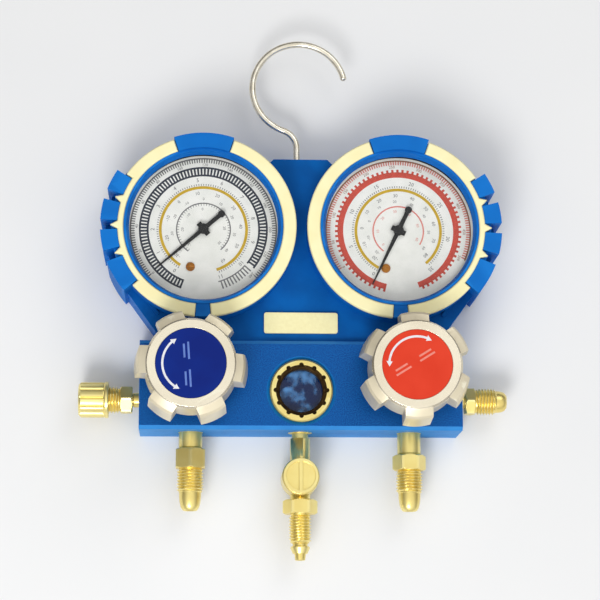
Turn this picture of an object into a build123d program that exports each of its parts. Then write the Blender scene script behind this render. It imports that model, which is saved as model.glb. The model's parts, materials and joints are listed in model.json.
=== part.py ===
from build123d import *
import os
from math import acos, atan2, cos, degrees, hypot, radians, sin, sqrt

# A two-gauge refrigerant manifold lying on its back. The back of the block is z = 0, the dials
# face +Z, the hanging hook points to +Y and the high-pressure side is +X. The low side is -X.
# All sizes are in millimetres.

# Manifold block
block_length = 135.0
block_height = 37.5
block_depth = 25.0
block_edge = 1.5
side_port_y = -5.0
drilling_radius = 2.6
channel_radius = 2.2
channel_wall = 2.3
plug_radius = 3.2
plug_length = 5.0

# Pipe threads that screw into the block
pipe_thread_radius = 5.1
pipe_thread_length = 7.5
thread_gap = 0.05

# Valves
valve_x = 46.0
valve_y = 4.5
seat_rise = 3.5
valve_lift = 3.0
piston_headroom = 0.7
seat_bore_radius = 2.5
cavity_radius = 6.0
piston_radius = 5.9
piston_length = 6.8
piston_bore_radius = 2.06
piston_bore_depth = 3.2
piston_nose_chamfer = 1.2
seal_section_radius = 0.72
bonnet_thread_radius = 9.4
bonnet_hex_flats = 20.0
bonnet_hex_height = 6.0
bonnet_neck_radius = 7.0
bonnet_neck_height = 3.5
stem_radius = 4.0
stem_tail_radius = 2.0
stem_fit = 0.06
stem_tail_gap = 0.2
stem_square = 5.0
stem_square_length = 9.0

# Knobs
knob_radius = 22.2
knob_body_radius = 18.6
knob_flare = 1.2
knob_body_flare = 0.6
knob_height = 16.0
knob_gap = 1.5
knob_lobes = 6
knob_lobe_width = 11.4
knob_lobe_slope = 1.6
knob_lobe_shoulder = 2.8
knob_lobe_round = 0.9
knob_edge = 0.8
knob_hub_recess = 2.0
knob_cavity_radius = 14.5
knob_cavity_depth = 6.5
knob_hub_radius = 6.5
knob_floor = 3.2
knob_square_fit = 0.05
label_radius = 14.4
label_thickness = 0.8
label_recess = 1.0
label_gap = 0.1
knob_screw_radius = 1.45
knob_screw_head_radius = 2.9
knob_screw_head_height = 2.2
knob_screw_length = 7.0
knob_screw_seat = 0.6
knob_screw_end_gap = 0.5
knob_screw_slot_width = 0.8
knob_screw_slot_depth = 0.8
low_knob_angle = -5.0
high_knob_angle = 32.0

# Sight glass
sight_y = -2.5
sight_ring_radius = 13.1
sight_window_radius = 9.0
sight_ring_proud = 1.6
sight_ring_depth = 3.4
sight_notches = 12
sight_notch_radius = 0.95
sight_notch_depth = 2.2
sight_ring_bevel = 0.6
sight_inner_bevel = 1.7
sight_glass_radius = 12.3
sight_glass_thickness = 2.2
sight_seal_thickness = 1.2
sight_seal_inset = 0.6
sight_chamber_drop = 1.5
sight_floor = 0.55
sight_halo_radius = 14.5
sight_halo_depth = 1.0

# Housing of the two gauges
tower_gap = 4.9
tower_rise = 8.5
tower_wall = 4.5
housing_wall = 2.5
housing_rear_depth = 12.5
web_wall = 2.0
web_clearance = 0.25
web_rise = 32.0
web_half_width = 14.5
web_chamfer = 3.0
trim_seat_rise = 1.2
lip_step = 0.6
lip_width = 2.2
lip_height = 2.2
lip_flat = 1.0
lip_edge = 0.6
skirt_inset = 9.5
grip_proud = 2.6
grip_top_angle = 38.0
rib_length = 18.0
rib_width = 1.4
rib_height = 1.8
rib_inset = 5.0
pad_proud = 4.4
pad_reach = 2.7
pad_height = 1.8
pad_rear_step = 2.0
pad_angles = [27.0, 9.0, -9.0, -31.0]
pad_half_angles = [6.0, 6.0, 6.0, 9.5]
pad_root = 1.0
tab_half_angle = 18.5
tab_proud = 1.0
tab_height = 3.0
bridge_half_angle = 4.6
bridge_height = 1.8
trim_overhang = 0.2
trim_thickness = 2.6
trim_edge = 0.5
trim_tip_half_angle = 2.8
trim_gap = 0.1
trim_end_gap_angle = 0.4
trim_pad_gap_angle = 0.8
plate_length = 31.0
plate_height = 8.8
plate_thickness = 1.2
plate_corner = 1.0
plate_rise = 8.0

# Screws that hold the two shells together and to the block
screw_radius = 1.4
screw_length = 9.0
screw_head_radius = 2.7
screw_head_height = 1.8
screw_slot_width = 0.7
screw_slot_depth = 0.6
screw_clearance = 0.1
screw_head_clearance = 0.3
boss_radius = 3.2
boss_floor_depth = 4.0
web_screw_x = 8.0
web_screw_drop = 6.5
middle_screw_rise = 6.0
lower_screw_rise = 18.5
skirt_screw_inset = 12.5
skirt_screw_rise = 7.5
block_screw_x = 22.0
block_screw_drop = 5.0

# Gauges
case_radius = 34.0
case_clearance = 0.3
case_wall = 1.6
case_front_rise = 17.5
case_floor = 1.0
case_window_depth = 4.0
lens_thickness = 2.0
lens_rim = 1.0
dial_clearance = 0.4
dial_drop = 5.5
dial_thickness = 0.6
dial_hole_radius = 1.4
dial_screw_clearance = 0.2
socket_neck_radius = 5.5
socket_hex_flats = 12.5
socket_hex_length = 4.5
socket_hex_clear = 3.0
socket_block_width = 14.0
socket_block_reach = 7.0
socket_block_back = 6.0
socket_bore_radius = 1.6
socket_cheek = 0.5
socket_slot_angle = 20.0
stem_clearance = 0.5
tube_clearance = 6.8
tube_height = 7.6
tube_width = 3.2
tube_wall = 0.5
tube_root_angle = 260.0
tube_sweep = 275.0
tube_tip_length = 4.0
lug_thickness = 1.4
lug_width = 7.0
lug_pin_reach = 4.96
lug_pin_angle = 2.1
lug_root_radius = 1.2
lug_root_angle = 4.0
lug_root_reach = 0.4
lug_eye_shift = (1.0, 0.7)
plate_gauge_thickness = 1.0
plate_spacing = 3.7
movement_half_width = 9.0
movement_top = 8.0
movement_foot = 1.0
movement_corner = 2.0
pillar_radius = 1.5
pillar_inset = 2.5
pillar_x = 6.8
arbor_radius = 0.8
arbor_fit = 0.05
movement_gap = 0.3
link_gap = 0.4

# Movement gearing
gear_module = 0.3
pinion_teeth = 9
gear_ratio = 10
tooth_addendum = 0.85 * gear_module
tooth_dedendum = 1.2 * gear_module
pinion_tooth_widths = (0.42, 0.16)
sector_tooth_widths = (0.5, 0.2)
tooth_sink = 0.3
sector_first_angle = 56.0
sector_last_angle = 100.0
sector_thickness = 1.0
pinion_length = 1.8
sector_tail = 6.5
sector_tail_angle = 290.0
sector_web_width = 3.0
sector_rim = 1.6
sector_end_angle = 1.0
sector_hub_margin = 0.5
link_width = 2.4
link_thickness = 0.8
link_pin_radius = 0.7
slot_half_length = 2.8
slot_clearance = 0.4
slot_angle = 34.5

# Pointer and calibrating screw
pointer_rise = 1.0
pointer_thickness = 0.5
pointer_margin = 6.2
pointer_tail = 10.0
pointer_hub_radius = 2.2
pointer_tail_disc = 1.5
pointer_root_width = 1.8
pointer_tip_width = 0.5
pointer_cross = (2.2, 6.4)
low_pointer_angle = 220.8
high_pointer_angle = 244.4
calibration_place = (-5.4, -16.2)
calibration_head_radius = 1.9
calibration_head_height = 0.6
calibration_shank_radius = 0.9
calibration_slot_width = 0.6
calibration_slot_depth = 0.3

# Hanging hook
wire_radius = 1.4
hook_x = -1.3
hook_loop_radius = 20.1
hook_loop_shift = 1.0
hook_loop_rise = 34.0
hook_bend_radius = 8.5
hook_tip_angle = 15.0
hook_head_radius = 2.4
hook_head_length = 2.0
hook_end_gap = 0.3
hook_fit = 0.05
bush_radius = 2.8
bush_flange_radius = 4.0
bush_flange_length = 2.0
bush_proud = 0.8

# Hose ports and side fittings
flare_thread_radius = 5.55
flare_root_radius = 4.6
flare_nose_radius = 3.1
flare_nose_steps = [(0.45, 4.35), (0.8, 3.8)]
flare_bore_radius = 2.4
thread_lead = 0.4
thread_runout = 0.6
port_collar_radius = 4.9
port_reach = 32.7
port_nose_length = 7.0
low_port_collar = 6.9
low_port_hex_length = 8.2
high_port_collar = 9.2
high_port_hex_length = 6.4
port_hex_flats = 12.2
low_port_turn = 30.0
centre_neck_radius = 4.2
centre_waist_radius = 3.4
centre_waist_length = 2.4
tee_body_radius = 7.8
tee_body_reach = 18.9
tee_half_depth = 7.5
tee_outlet_reach = 28.1
tee_edge = 0.5
tee_cap_radius = 7.3
tee_cap_height = 2.0
tee_cap_rim = 1.2
tee_cap_rib = 1.6
tee_cap_recess = 0.8
tee_cap_overlap = 0.2
tee_plug_radius = 4.6
tee_plug_length = 5.0
centre_hex_flats = 12.6
centre_thread_radius = 4.6
centre_hex_length = 6.0
centre_thread_length = 12.2
centre_groove_length = 1.0
centre_cone_length = 3.2
centre_tip_length = 2.8
centre_cone_radius = 4.0
centre_tip_radii = (2.4, 2.0)
centre_groove_slope = 0.3
centre_bore_radius = 1.4
side_neck_radius = 3.1
side_neck_length = 3.0
side_hex_flats = 10.6
side_hex_length = 5.1
low_side_reach = 22.5
high_side_neck = 2.4
high_side_hex_length = 4.2
high_side_reach = 20.0
flare_nose_length = 4.0
cap_radius = 7.6
cap_open_reach = 13.0
cap_end_wall = 1.5
cap_flutes = 12
cap_flute_radius = 0.7
cap_flute_offset = 0.2
cap_flute_start = 1.5
cap_edge = 0.8
gasket_thickness = 1.5
gasket_clearance = 0.2
core_radius = 2.3
core_length = 7.0
core_inset = 2.0
core_pin_radius = 0.7
core_pin_fit = 0.06
core_pin_proud = 1.5
core_foot_length = 0.8
core_foot_margin = 0.5

# Places worked out from the driving sizes
block_top = block_height / 2
block_end = block_length / 2
sight_stack = sight_ring_depth + sight_glass_thickness + sight_seal_thickness
port_z = block_depth - sight_stack - sight_floor - pipe_thread_radius - thread_gap
sight_chamber_z = port_z - sight_chamber_drop
channel_z = channel_wall + channel_radius
seat_z = channel_z + seat_rise
piston_top_z = seat_z + piston_length
cavity_top_z = piston_top_z + valve_lift + piston_headroom
bonnet_top_z = block_depth + bonnet_hex_height + bonnet_neck_height
knob_base_z = bonnet_top_z + knob_gap
knob_front_z = knob_base_z + knob_height
stem_shoulder_z = knob_base_z + knob_hub_recess

tower_radius = case_radius + case_clearance + tower_wall
lip_outer_radius = case_radius - lip_step
lip_inner_radius = lip_outer_radius - lip_width
trim_radius = tower_radius + trim_overhang
tab_radius = tower_radius + tab_proud
pad_inner_radius = tower_radius - pad_reach
pad_outer_radius = tower_radius + pad_proud
grip_base_radius = tower_radius + grip_proud
gauge_x = tower_radius + tower_gap / 2
gauge_y = block_top + tower_rise + tower_radius
web_top_y = gauge_y + web_rise
skirt_corner_x = block_end - skirt_inset
plate_y = block_top + plate_rise
hook_loop_centre = (hook_x + hook_loop_shift, web_top_y + hook_loop_rise)

split_z = port_z
housing_back_z = port_z - housing_rear_depth
web_z = port_z + socket_hex_flats / 2 + web_clearance + web_wall
case_front_z = port_z + case_front_rise
trim_seat_z = case_front_z + trim_seat_rise
lip_z = trim_seat_z + lip_height
trim_z = trim_seat_z + trim_thickness
tab_z = trim_seat_z + tab_height
bridge_z = trim_seat_z + bridge_height
pad_z = trim_seat_z + pad_height
pad_rear_z = housing_back_z + pad_rear_step
boss_floor_z = housing_back_z + boss_floor_depth
block_screw_z = port_z - block_screw_drop
skirt_screw_x = block_end - skirt_screw_inset
shell_screw_places = [
    (-web_screw_x, web_top_y - web_screw_drop),
    (web_screw_x, web_top_y - web_screw_drop),
    (0, gauge_y + middle_screw_rise),
    (0, block_top + lower_screw_rise),
    (-skirt_screw_x, block_top + skirt_screw_rise),
    (skirt_screw_x, block_top + skirt_screw_rise),
]

lens_radius = case_radius - lens_rim
lens_back_z = case_front_z - lens_thickness
case_inner_radius = case_radius - case_wall
case_back_z = housing_back_z + housing_wall
dial_radius = case_inner_radius - dial_clearance
dial_z = case_front_z - dial_drop
dial_front_z = dial_z + dial_thickness
pointer_z = dial_front_z + pointer_rise
pointer_length = dial_radius - pointer_margin
tube_radius = case_inner_radius - tube_clearance - tube_width / 2
tube_tip_angle = tube_root_angle - tube_sweep
socket_block_top = socket_block_reach - tube_radius
socket_block_bottom = -socket_block_reach - tube_radius
socket_block_back_z = port_z - socket_block_back
socket_front_z = port_z + tube_height / 2 + socket_cheek
movement_bottom = socket_block_bottom + movement_foot
pillar_places = [
    (-pillar_x, movement_top - pillar_inset),
    (pillar_x, movement_top - pillar_inset),
    (-pillar_x, movement_bottom + pillar_inset),
    (pillar_x, movement_bottom + pillar_inset),
]
rear_plate_z = socket_front_z
front_plate_z = rear_plate_z + plate_gauge_thickness + plate_spacing
pinion_radius = gear_module * pinion_teeth / 2
sector_radius = pinion_radius * gear_ratio
sector_pivot = (0.0, -(sector_radius + pinion_radius))
link_z = rear_plate_z + plate_gauge_thickness + movement_gap
sector_z = link_z + link_thickness + link_gap
tail_point = (
    sector_pivot[0] + sector_tail * cos(radians(sector_tail_angle)),
    sector_pivot[1] + sector_tail * sin(radians(sector_tail_angle)),
)
link_end = (
    (tube_radius - lug_pin_reach) * cos(radians(tube_tip_angle - lug_pin_angle)),
    (tube_radius - lug_pin_reach) * sin(radians(tube_tip_angle - lug_pin_angle)),
)

port_nose_start = port_reach - port_nose_length
low_port_stations = [low_port_collar, low_port_collar + low_port_hex_length, port_nose_start, port_reach]
high_port_stations = [high_port_collar, high_port_collar + high_port_hex_length, port_nose_start, port_reach]
tee_body_y = -block_top - tee_body_reach
tee_outlet_y = -block_top - tee_outlet_reach
tee_front_z = port_z + tee_half_depth
tee_back_z = port_z - tee_half_depth


def rod_x(x0, x1, y, z, radius):
    """Cylinder along X between x0 and x1."""
    length = abs(x1 - x0)
    return Pos((x0 + x1) / 2, y, z) * Rot(0, 90, 0) * Cylinder(radius, length)


def rod_y(y0, y1, x, z, radius):
    """Cylinder along Y between y0 and y1."""
    length = abs(y1 - y0)
    return Pos(x, (y0 + y1) / 2, z) * Rot(90, 0, 0) * Cylinder(radius, length)


def rod_z(z0, z1, x, y, radius):
    """Cylinder along Z between z0 and z1."""
    return Pos(x, y, (z0 + z1) / 2) * Cylinder(radius, abs(z1 - z0))


def prism_z(sketch, z0, z1):
    """A sketch drawn on the XY plane, raised from z0 to z1."""
    return Pos(0, 0, z0) * extrude(sketch, amount=z1 - z0)


def hex_z(flats, z0, z1):
    """Hexagonal bar along Z on the axis x = y = 0."""
    return prism_z(RegularPolygon(flats / 2, 6, major_radius=False), z0, z1)


def turned_z(points):
    """Solid of revolution about Z from (radius, z) points."""
    return revolve(make_face(Polyline(*[(r, 0, z) for r, z in points], close=True)), Axis.Z)


def ring_sector(inner, outer, first, last):
    """Face between two radii and two angles in degrees, about the origin."""
    span = last - first
    edges = [
        CenterArc((0, 0), inner, first, span),
        CenterArc((0, 0), outer, first, span),
        Line(polar(inner, first), polar(outer, first)),
        Line(polar(inner, last), polar(outer, last)),
    ]
    return make_face(edges)


def polar(radius, angle):
    """Point on the XY plane from a radius and an angle in degrees."""
    return (radius * cos(radians(angle)), radius * sin(radians(angle)))


def both_sides(sketch):
    """A sketch of the high side and its mirror image on the low side."""
    return sketch + mirror(sketch, about=Plane.YZ)


def at_gauge(side, solid):
    """Moves a gauge piece from the origin to the low (-1) or high (+1) gauge."""
    return Pos(side * gauge_x, gauge_y, 0) * solid


def at_valve(side, solid):
    """Moves a valve piece from the origin to the low (-1) or high (+1) valve."""
    return Pos(side * valve_x, valve_y, 0) * solid


# Block: one bar of aluminium with the valve cavities, the cross channel and all the ports

def manifold_block():
    bar = Pos(0, 0, block_depth / 2) * Box(block_length, block_height, block_depth)
    long_edges = bar.edges().filter_by(Axis.X).group_by(Axis.Z)[-1]
    bar = chamfer(long_edges, block_edge)
    hole = pipe_thread_radius + thread_gap
    thread_floor = block_top - pipe_thread_length
    for side in (-1, 1):
        x = side * valve_x
        bar -= rod_z(seat_z, block_depth, x, valve_y, cavity_radius)
        bar -= rod_z(cavity_top_z, block_depth, x, valve_y, bonnet_thread_radius + thread_gap)
        bar -= rod_z(channel_z, seat_z, x, valve_y, seat_bore_radius)
        bar -= rod_y(thread_floor, block_top, side * gauge_x, port_z, hole)
        bar -= rod_y(valve_y, thread_floor, side * gauge_x, port_z, drilling_radius)
        bar -= rod_y(-block_top, -thread_floor, x, port_z, hole)
        bar -= rod_y(-thread_floor, valve_y, x, port_z, drilling_radius)
        side_floor = side * (block_end - pipe_thread_length)
        bar -= rod_x(side * block_end, side_floor, side_port_y, port_z, hole)
        bar -= rod_x(side_floor, x, side_port_y, port_z, drilling_radius)
    bar -= rod_x(-block_end, valve_x, valve_y, channel_z, channel_radius)
    bar -= rod_x(-block_end, -block_end + plug_length, valve_y, channel_z, plug_radius)
    bar -= rod_y(-block_top, -thread_floor, 0, port_z, hole)
    bar -= rod_y(-thread_floor, sight_y, 0, port_z, drilling_radius)
    bar -= rod_z(channel_z, sight_chamber_z, 0, valve_y, channel_radius)
    bar -= rod_z(sight_chamber_z, block_depth, 0, sight_y, sight_window_radius)
    seat = block_depth - sight_stack
    bar -= rod_z(seat, block_depth, 0, sight_y, sight_ring_radius + thread_gap)
    halo = turned_z([
        (0, block_depth - sight_halo_depth),
        (sight_ring_radius + thread_gap, block_depth - sight_halo_depth),
        (sight_halo_radius, block_depth),
        (0, block_depth),
    ])
    bar -= Pos(0, sight_y, 0) * halo
    for side in (-1, 1):
        bar -= rod_y(block_top, block_top - screw_length, side * block_screw_x, block_screw_z, screw_radius)
    return bar


def channel_plug():
    return rod_x(-block_end, -block_end + plug_length, valve_y, channel_z, plug_radius)


# Sight glass: seal, window and a screwed brass ring with spanner notches

def sight_seal():
    seat = block_depth - sight_stack
    ring = Cylinder(sight_glass_radius, sight_seal_thickness) - Cylinder(
        sight_window_radius + sight_seal_inset, sight_seal_thickness)
    return Pos(0, sight_y, seat + sight_seal_thickness / 2) * ring


def sight_glass():
    back = block_depth - sight_ring_depth - sight_glass_thickness
    return rod_z(back, back + sight_glass_thickness, 0, sight_y, sight_glass_radius)


def sight_ring():
    back = block_depth - sight_ring_depth
    front = block_depth + sight_ring_proud
    ring = turned_z([
        (sight_window_radius, back),
        (sight_ring_radius, back),
        (sight_ring_radius, front - sight_ring_bevel),
        (sight_ring_radius - sight_ring_bevel, front),
        (sight_window_radius + sight_inner_bevel, front),
        (sight_window_radius, front - sight_inner_bevel),
    ])
    for k in range(sight_notches):
        x, y = polar(sight_window_radius + sight_inner_bevel, k * 360 / sight_notches)
        ring -= rod_z(front - sight_notch_depth, front, x, y, sight_notch_radius)
    return Pos(0, sight_y, 0) * ring


# Valves: bonnet, piston with its seal, threaded stem, knob with screw and label

def bonnet():
    thread = rod_z(cavity_top_z, block_depth, 0, 0, bonnet_thread_radius)
    nut = hex_z(bonnet_hex_flats, block_depth, block_depth + bonnet_hex_height)
    neck = rod_z(block_depth, bonnet_top_z, 0, 0, bonnet_neck_radius)
    return thread + nut + neck - rod_z(cavity_top_z, bonnet_top_z, 0, 0, stem_radius + stem_fit)


def seal_place():
    return seat_z + piston_length / 2


def piston():
    body = rod_z(seat_z, piston_top_z, 0, 0, piston_radius)
    body = chamfer(body.edges().sort_by(Axis.Z)[0], piston_nose_chamfer)
    inner = piston_radius - 2 * seal_section_radius
    groove = Cylinder(piston_radius, 2 * seal_section_radius) - Cylinder(inner, 2 * seal_section_radius)
    body -= Pos(0, 0, seal_place()) * groove
    return body - rod_z(piston_top_z - piston_bore_depth, piston_top_z, 0, 0, piston_bore_radius)


def piston_seal():
    return Pos(0, 0, seal_place()) * Torus(piston_radius - seal_section_radius, seal_section_radius)


def stem():
    tail_z = piston_top_z - piston_bore_depth + stem_tail_gap
    body = rod_z(tail_z, piston_top_z, 0, 0, stem_tail_radius)
    body += rod_z(piston_top_z, stem_shoulder_z, 0, 0, stem_radius)
    square_top = stem_shoulder_z + stem_square_length
    body += prism_z(Rectangle(stem_square, stem_square), stem_shoulder_z, square_top)
    return body - rod_z(square_top - knob_screw_length, square_top, 0, 0, knob_screw_radius)


def knob_lobe_plan(turn):
    """Parallel-sided bars from the middle outwards, one for each lobe."""
    bars = Sketch()
    for k in range(knob_lobes):
        bars += Rot(0, 0, turn + k * 360 / knob_lobes) * Pos(knob_radius, 0) * Rectangle(
            2 * knob_radius, knob_lobe_width)
    return bars


def knob(turn):
    """Flat-fronted disc with lobes that slope down to the rim, hollow at the back round the hub."""
    disc = turned_z([
        (0, knob_base_z),
        (knob_body_radius + knob_body_flare, knob_base_z),
        (knob_body_radius, knob_front_z - knob_edge),
        (knob_body_radius - knob_edge, knob_front_z),
        (0, knob_front_z),
    ])
    crown = turned_z([
        (0, knob_base_z),
        (knob_radius + knob_flare, knob_base_z),
        (knob_radius, knob_front_z - knob_lobe_shoulder),
        (knob_radius - knob_lobe_round, knob_front_z - knob_lobe_slope),
        (knob_body_radius - knob_edge, knob_front_z - knob_edge / 2),
        (0, knob_front_z - knob_edge / 2),
    ])
    grip = disc + (crown & prism_z(knob_lobe_plan(turn), knob_base_z, knob_front_z))
    square_top = stem_shoulder_z + stem_square_length
    head_z = square_top + knob_screw_seat
    grip -= rod_z(knob_base_z, knob_base_z + knob_cavity_depth, 0, 0, knob_cavity_radius)
    grip += rod_z(stem_shoulder_z, knob_front_z - knob_floor, 0, 0, knob_hub_radius)
    square = stem_square + 2 * knob_square_fit
    grip -= prism_z(Rectangle(square, square), stem_shoulder_z, square_top)
    grip -= rod_z(square_top, head_z, 0, 0, knob_screw_radius + screw_clearance)
    grip -= rod_z(head_z, knob_front_z, 0, 0, knob_screw_head_radius + screw_head_clearance)
    return grip - rod_z(knob_front_z - label_recess, knob_front_z, 0, 0, label_radius + label_gap)


def knob_screw():
    square_top = stem_shoulder_z + stem_square_length
    head_z = square_top + knob_screw_seat
    shank_end = square_top - knob_screw_length + knob_screw_end_gap
    shank = rod_z(shank_end, head_z, 0, 0, knob_screw_radius)
    head = rod_z(head_z, head_z + knob_screw_head_height, 0, 0, knob_screw_head_radius)
    slot = Pos(0, 0, head_z + knob_screw_head_height) * Box(
        2 * knob_screw_head_radius, knob_screw_slot_width, 2 * knob_screw_slot_depth)
    return shank + head - slot


def knob_label():
    back = knob_front_z - label_recess
    return rod_z(back, back + label_thickness, 0, 0, label_radius)


# Housing: front and rear shells split on the plane of the gauge stems

def skirt_tangent():
    """Angle on the gauge circle where the straight skirt leaves it, high side."""
    dx = skirt_corner_x - gauge_x
    dy = block_top - gauge_y
    reach = hypot(dx, dy)
    return degrees(atan2(dy, dx)) + degrees(acos(grip_base_radius / reach))


def housing_outline(inset):
    """Outer contour of the shells, drawn in by the inset."""
    angle = skirt_tangent()
    gauge = Pos(gauge_x, gauge_y)
    tower = gauge * Circle(tower_radius - inset)
    band = gauge * ring_sector(tower_radius / 2, grip_base_radius - inset, angle, grip_top_angle)
    # Shifting the skirt's edge square to itself keeps the wall even along the slope
    tangent_x = gauge_x + (grip_base_radius - inset) * cos(radians(angle))
    tangent_y = gauge_y + (grip_base_radius - inset) * sin(radians(angle))
    slope = radians(angle + 90)
    floor_y = block_top + inset
    corner_x = tangent_x + (floor_y - tangent_y) * cos(slope) / sin(slope)
    skirt = make_face(Polyline(
        (0, floor_y), (corner_x, floor_y), (tangent_x, tangent_y), (gauge_x, gauge_y), (0, gauge_y),
        close=True))
    top = web_top_y - inset
    half = web_half_width - inset
    web = make_face(Polyline(
        (0, floor_y), (half, floor_y), (half, top - web_chamfer), (half - web_chamfer, top), (0, top),
        close=True))
    return both_sides(tower + band + skirt + web)


def pad_sketch(inner):
    """Plan of the finger pads round the outer side of one gauge, high side."""
    pads = Sketch()
    for middle, half in zip(pad_angles, pad_half_angles):
        pads += ring_sector(inner, pad_outer_radius, middle - half, middle + half)
    return Pos(gauge_x, gauge_y) * pads


def shell_bosses(z0, z1):
    """Screw bosses between two heights."""
    bosses = Part()
    for x, y in shell_screw_places:
        bosses += rod_z(z0, z1, x, y, boss_radius)
    return bosses


def shell_openings():
    """Passages for the gauge stems and the hook bush, centred on the split."""
    cuts = rod_y(web_top_y - housing_wall, web_top_y, hook_x, port_z, bush_radius)
    for side in (-1, 1):
        inner_y = gauge_y - case_radius
        cuts += rod_y(block_top, inner_y, side * gauge_x, port_z, socket_neck_radius + stem_clearance)
    return cuts


def tab_sector(inner):
    """Plan of the cap over the top of one gauge."""
    return ring_sector(inner, tab_radius, 90 - tab_half_angle, 90 + tab_half_angle)


def tower():
    """Raised collar round one gauge: trim seat, lip over the lens, top tab and lower bridge."""
    ring = turned_z([
        (case_radius + case_clearance, split_z),
        (tower_radius, split_z),
        (tower_radius, trim_seat_z),
        (lip_outer_radius, trim_seat_z),
        (lip_outer_radius, lip_z),
        (lip_outer_radius - lip_flat, lip_z),
        (lip_inner_radius, case_front_z + lip_edge),
        (lip_inner_radius, case_front_z),
        (case_radius + case_clearance, case_front_z),
    ])
    tab = prism_z(tab_sector(lip_outer_radius), trim_seat_z, tab_z)
    tab += prism_z(tab_sector(tower_radius), split_z, trim_seat_z)
    bridge = ring_sector(lip_outer_radius, tower_radius, 270 - bridge_half_angle, 270 + bridge_half_angle)
    return ring + tab + prism_z(bridge, trim_seat_z, bridge_z)


def finger_pads():
    """Blocks on the outer side of both gauges, reaching in over the trim seat."""
    pads = prism_z(both_sides(pad_sketch(tower_radius)), split_z, pad_z)
    return pads + prism_z(both_sides(pad_sketch(pad_inner_radius)), trim_seat_z, pad_z)


def front_housing():
    room = tower_radius - housing_wall
    shell = prism_z(housing_outline(0), split_z, web_z)
    shell -= prism_z(housing_outline(housing_wall), split_z, web_z - web_wall)
    shell += shell_bosses(split_z, web_z - web_wall)
    for side in (-1, 1):
        shell -= at_gauge(side, rod_z(split_z, web_z, 0, 0, room))
    for side in (-1, 1):
        shell += at_gauge(side, tower())
        shell -= at_gauge(side, rod_z(split_z, trim_seat_z - housing_wall, 0, 0, room))
    shell += finger_pads()
    shell += skirt_ribs()
    for x, y in shell_screw_places:
        shell -= rod_z(split_z, boss_floor_z + housing_wall + screw_length, x, y, screw_radius)
    return shell - shell_openings()


def skirt_ribs():
    """Straight raised rib along the slope of each skirt."""
    angle = skirt_tangent()
    radius = grip_base_radius - rib_inset
    x = gauge_x + radius * cos(radians(angle))
    y = gauge_y + radius * sin(radians(angle))
    slope = angle - 90
    rib = Pos(x, y) * Rot(0, 0, slope) * Pos(rib_length / 2, 0) * SlotOverall(rib_length, rib_width)
    return prism_z(both_sides(rib), web_z, web_z + rib_height)


def rear_housing():
    floor_z = housing_back_z + housing_wall
    shell = prism_z(housing_outline(0), housing_back_z, split_z)
    shell -= prism_z(housing_outline(housing_wall), floor_z, split_z)
    shell += shell_bosses(floor_z, split_z)
    for side in (-1, 1):
        shell -= at_gauge(side, rod_z(floor_z, split_z, 0, 0, tower_radius - housing_wall))
    shell += prism_z(both_sides(pad_sketch(tower_radius - pad_root)), pad_rear_z, split_z)
    tab_side = tab_sector(tower_radius - pad_root)
    for side in (-1, 1):
        shell += at_gauge(side, prism_z(tab_side, pad_rear_z, split_z))
        shell -= rod_y(block_top, block_top + housing_wall, side * block_screw_x, block_screw_z,
                       screw_radius + screw_clearance)
    for x, y in shell_screw_places:
        shell -= rod_z(housing_back_z, split_z, x, y, screw_radius + screw_clearance)
        shell -= rod_z(housing_back_z, boss_floor_z, x, y, screw_head_radius + screw_head_clearance)
    return shell - shell_openings()


def pan_screw():
    """Pan-head screw with its head below z = 0 and its shank along +Z."""
    head = rod_z(-screw_head_height, 0, 0, 0, screw_head_radius)
    slot = Pos(0, 0, -screw_head_height) * Box(2 * screw_head_radius, screw_slot_width, 2 * screw_slot_depth)
    return head + rod_z(0, screw_length + housing_wall, 0, 0, screw_radius) - slot


def housing_screws():
    """Six screws from the back and two that hold the rear shell to the block."""
    screws = []
    for x, y in shell_screw_places:
        screws.append(Pos(x, y, boss_floor_z) * pan_screw())
    for side in (-1, 1):
        seat = Pos(side * block_screw_x, block_top + housing_wall, block_screw_z)
        screws.append(seat * Rot(90, 0, 0) * pan_screw())
    return Compound(children=[s.solid() for s in screws])


def ring_trim(side):
    """Two moulded arcs round one gauge; the outer one has points between the finger pads."""
    inner = lip_outer_radius + trim_gap
    tab = tab_half_angle + trim_end_gap_angle
    bridge = bridge_half_angle + trim_end_gap_angle
    first = pad_angles[-1] - pad_half_angles[-1] - trim_pad_gap_angle
    last = pad_angles[0] + pad_half_angles[0] + trim_pad_gap_angle
    smooth = ring_sector(inner, trim_radius, 90 + tab, 270 - bridge)
    notched = ring_sector(inner, trim_radius, last, 90 - tab)
    notched += ring_sector(inner, pad_inner_radius - trim_gap, first, last)
    notched += ring_sector(inner, trim_radius, -90 + bridge, first)
    for a, b, ha, hb in zip(pad_angles[:-1], pad_angles[1:], pad_half_angles[:-1], pad_half_angles[1:]):
        middle = (a - ha + b + hb) / 2
        base = pad_inner_radius - 2 * trim_gap
        notched += make_face(Polyline(
            polar(base, middle - trim_tip_half_angle), polar(trim_radius, middle),
            polar(base, middle + trim_tip_half_angle), close=True))
    arcs = []
    for sketch in (smooth, notched):
        arc = prism_z(sketch, trim_seat_z, trim_z)
        arc = chamfer(arc.faces().sort_by(Axis.Z)[-1].edges(), trim_edge)
        if side < 0:
            arc = mirror(arc, about=Plane.YZ)
        arcs.append(at_gauge(side, arc).solid())
    return Compound(children=arcs)


def name_plate():
    plate = RectangleRounded(plate_length, plate_height, plate_corner)
    return prism_z(Pos(0, plate_y) * plate, web_z, web_z + plate_thickness)


# Gauges: case, lens, dial and the spring-tube movement, each drawn about the dial's centre

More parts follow.
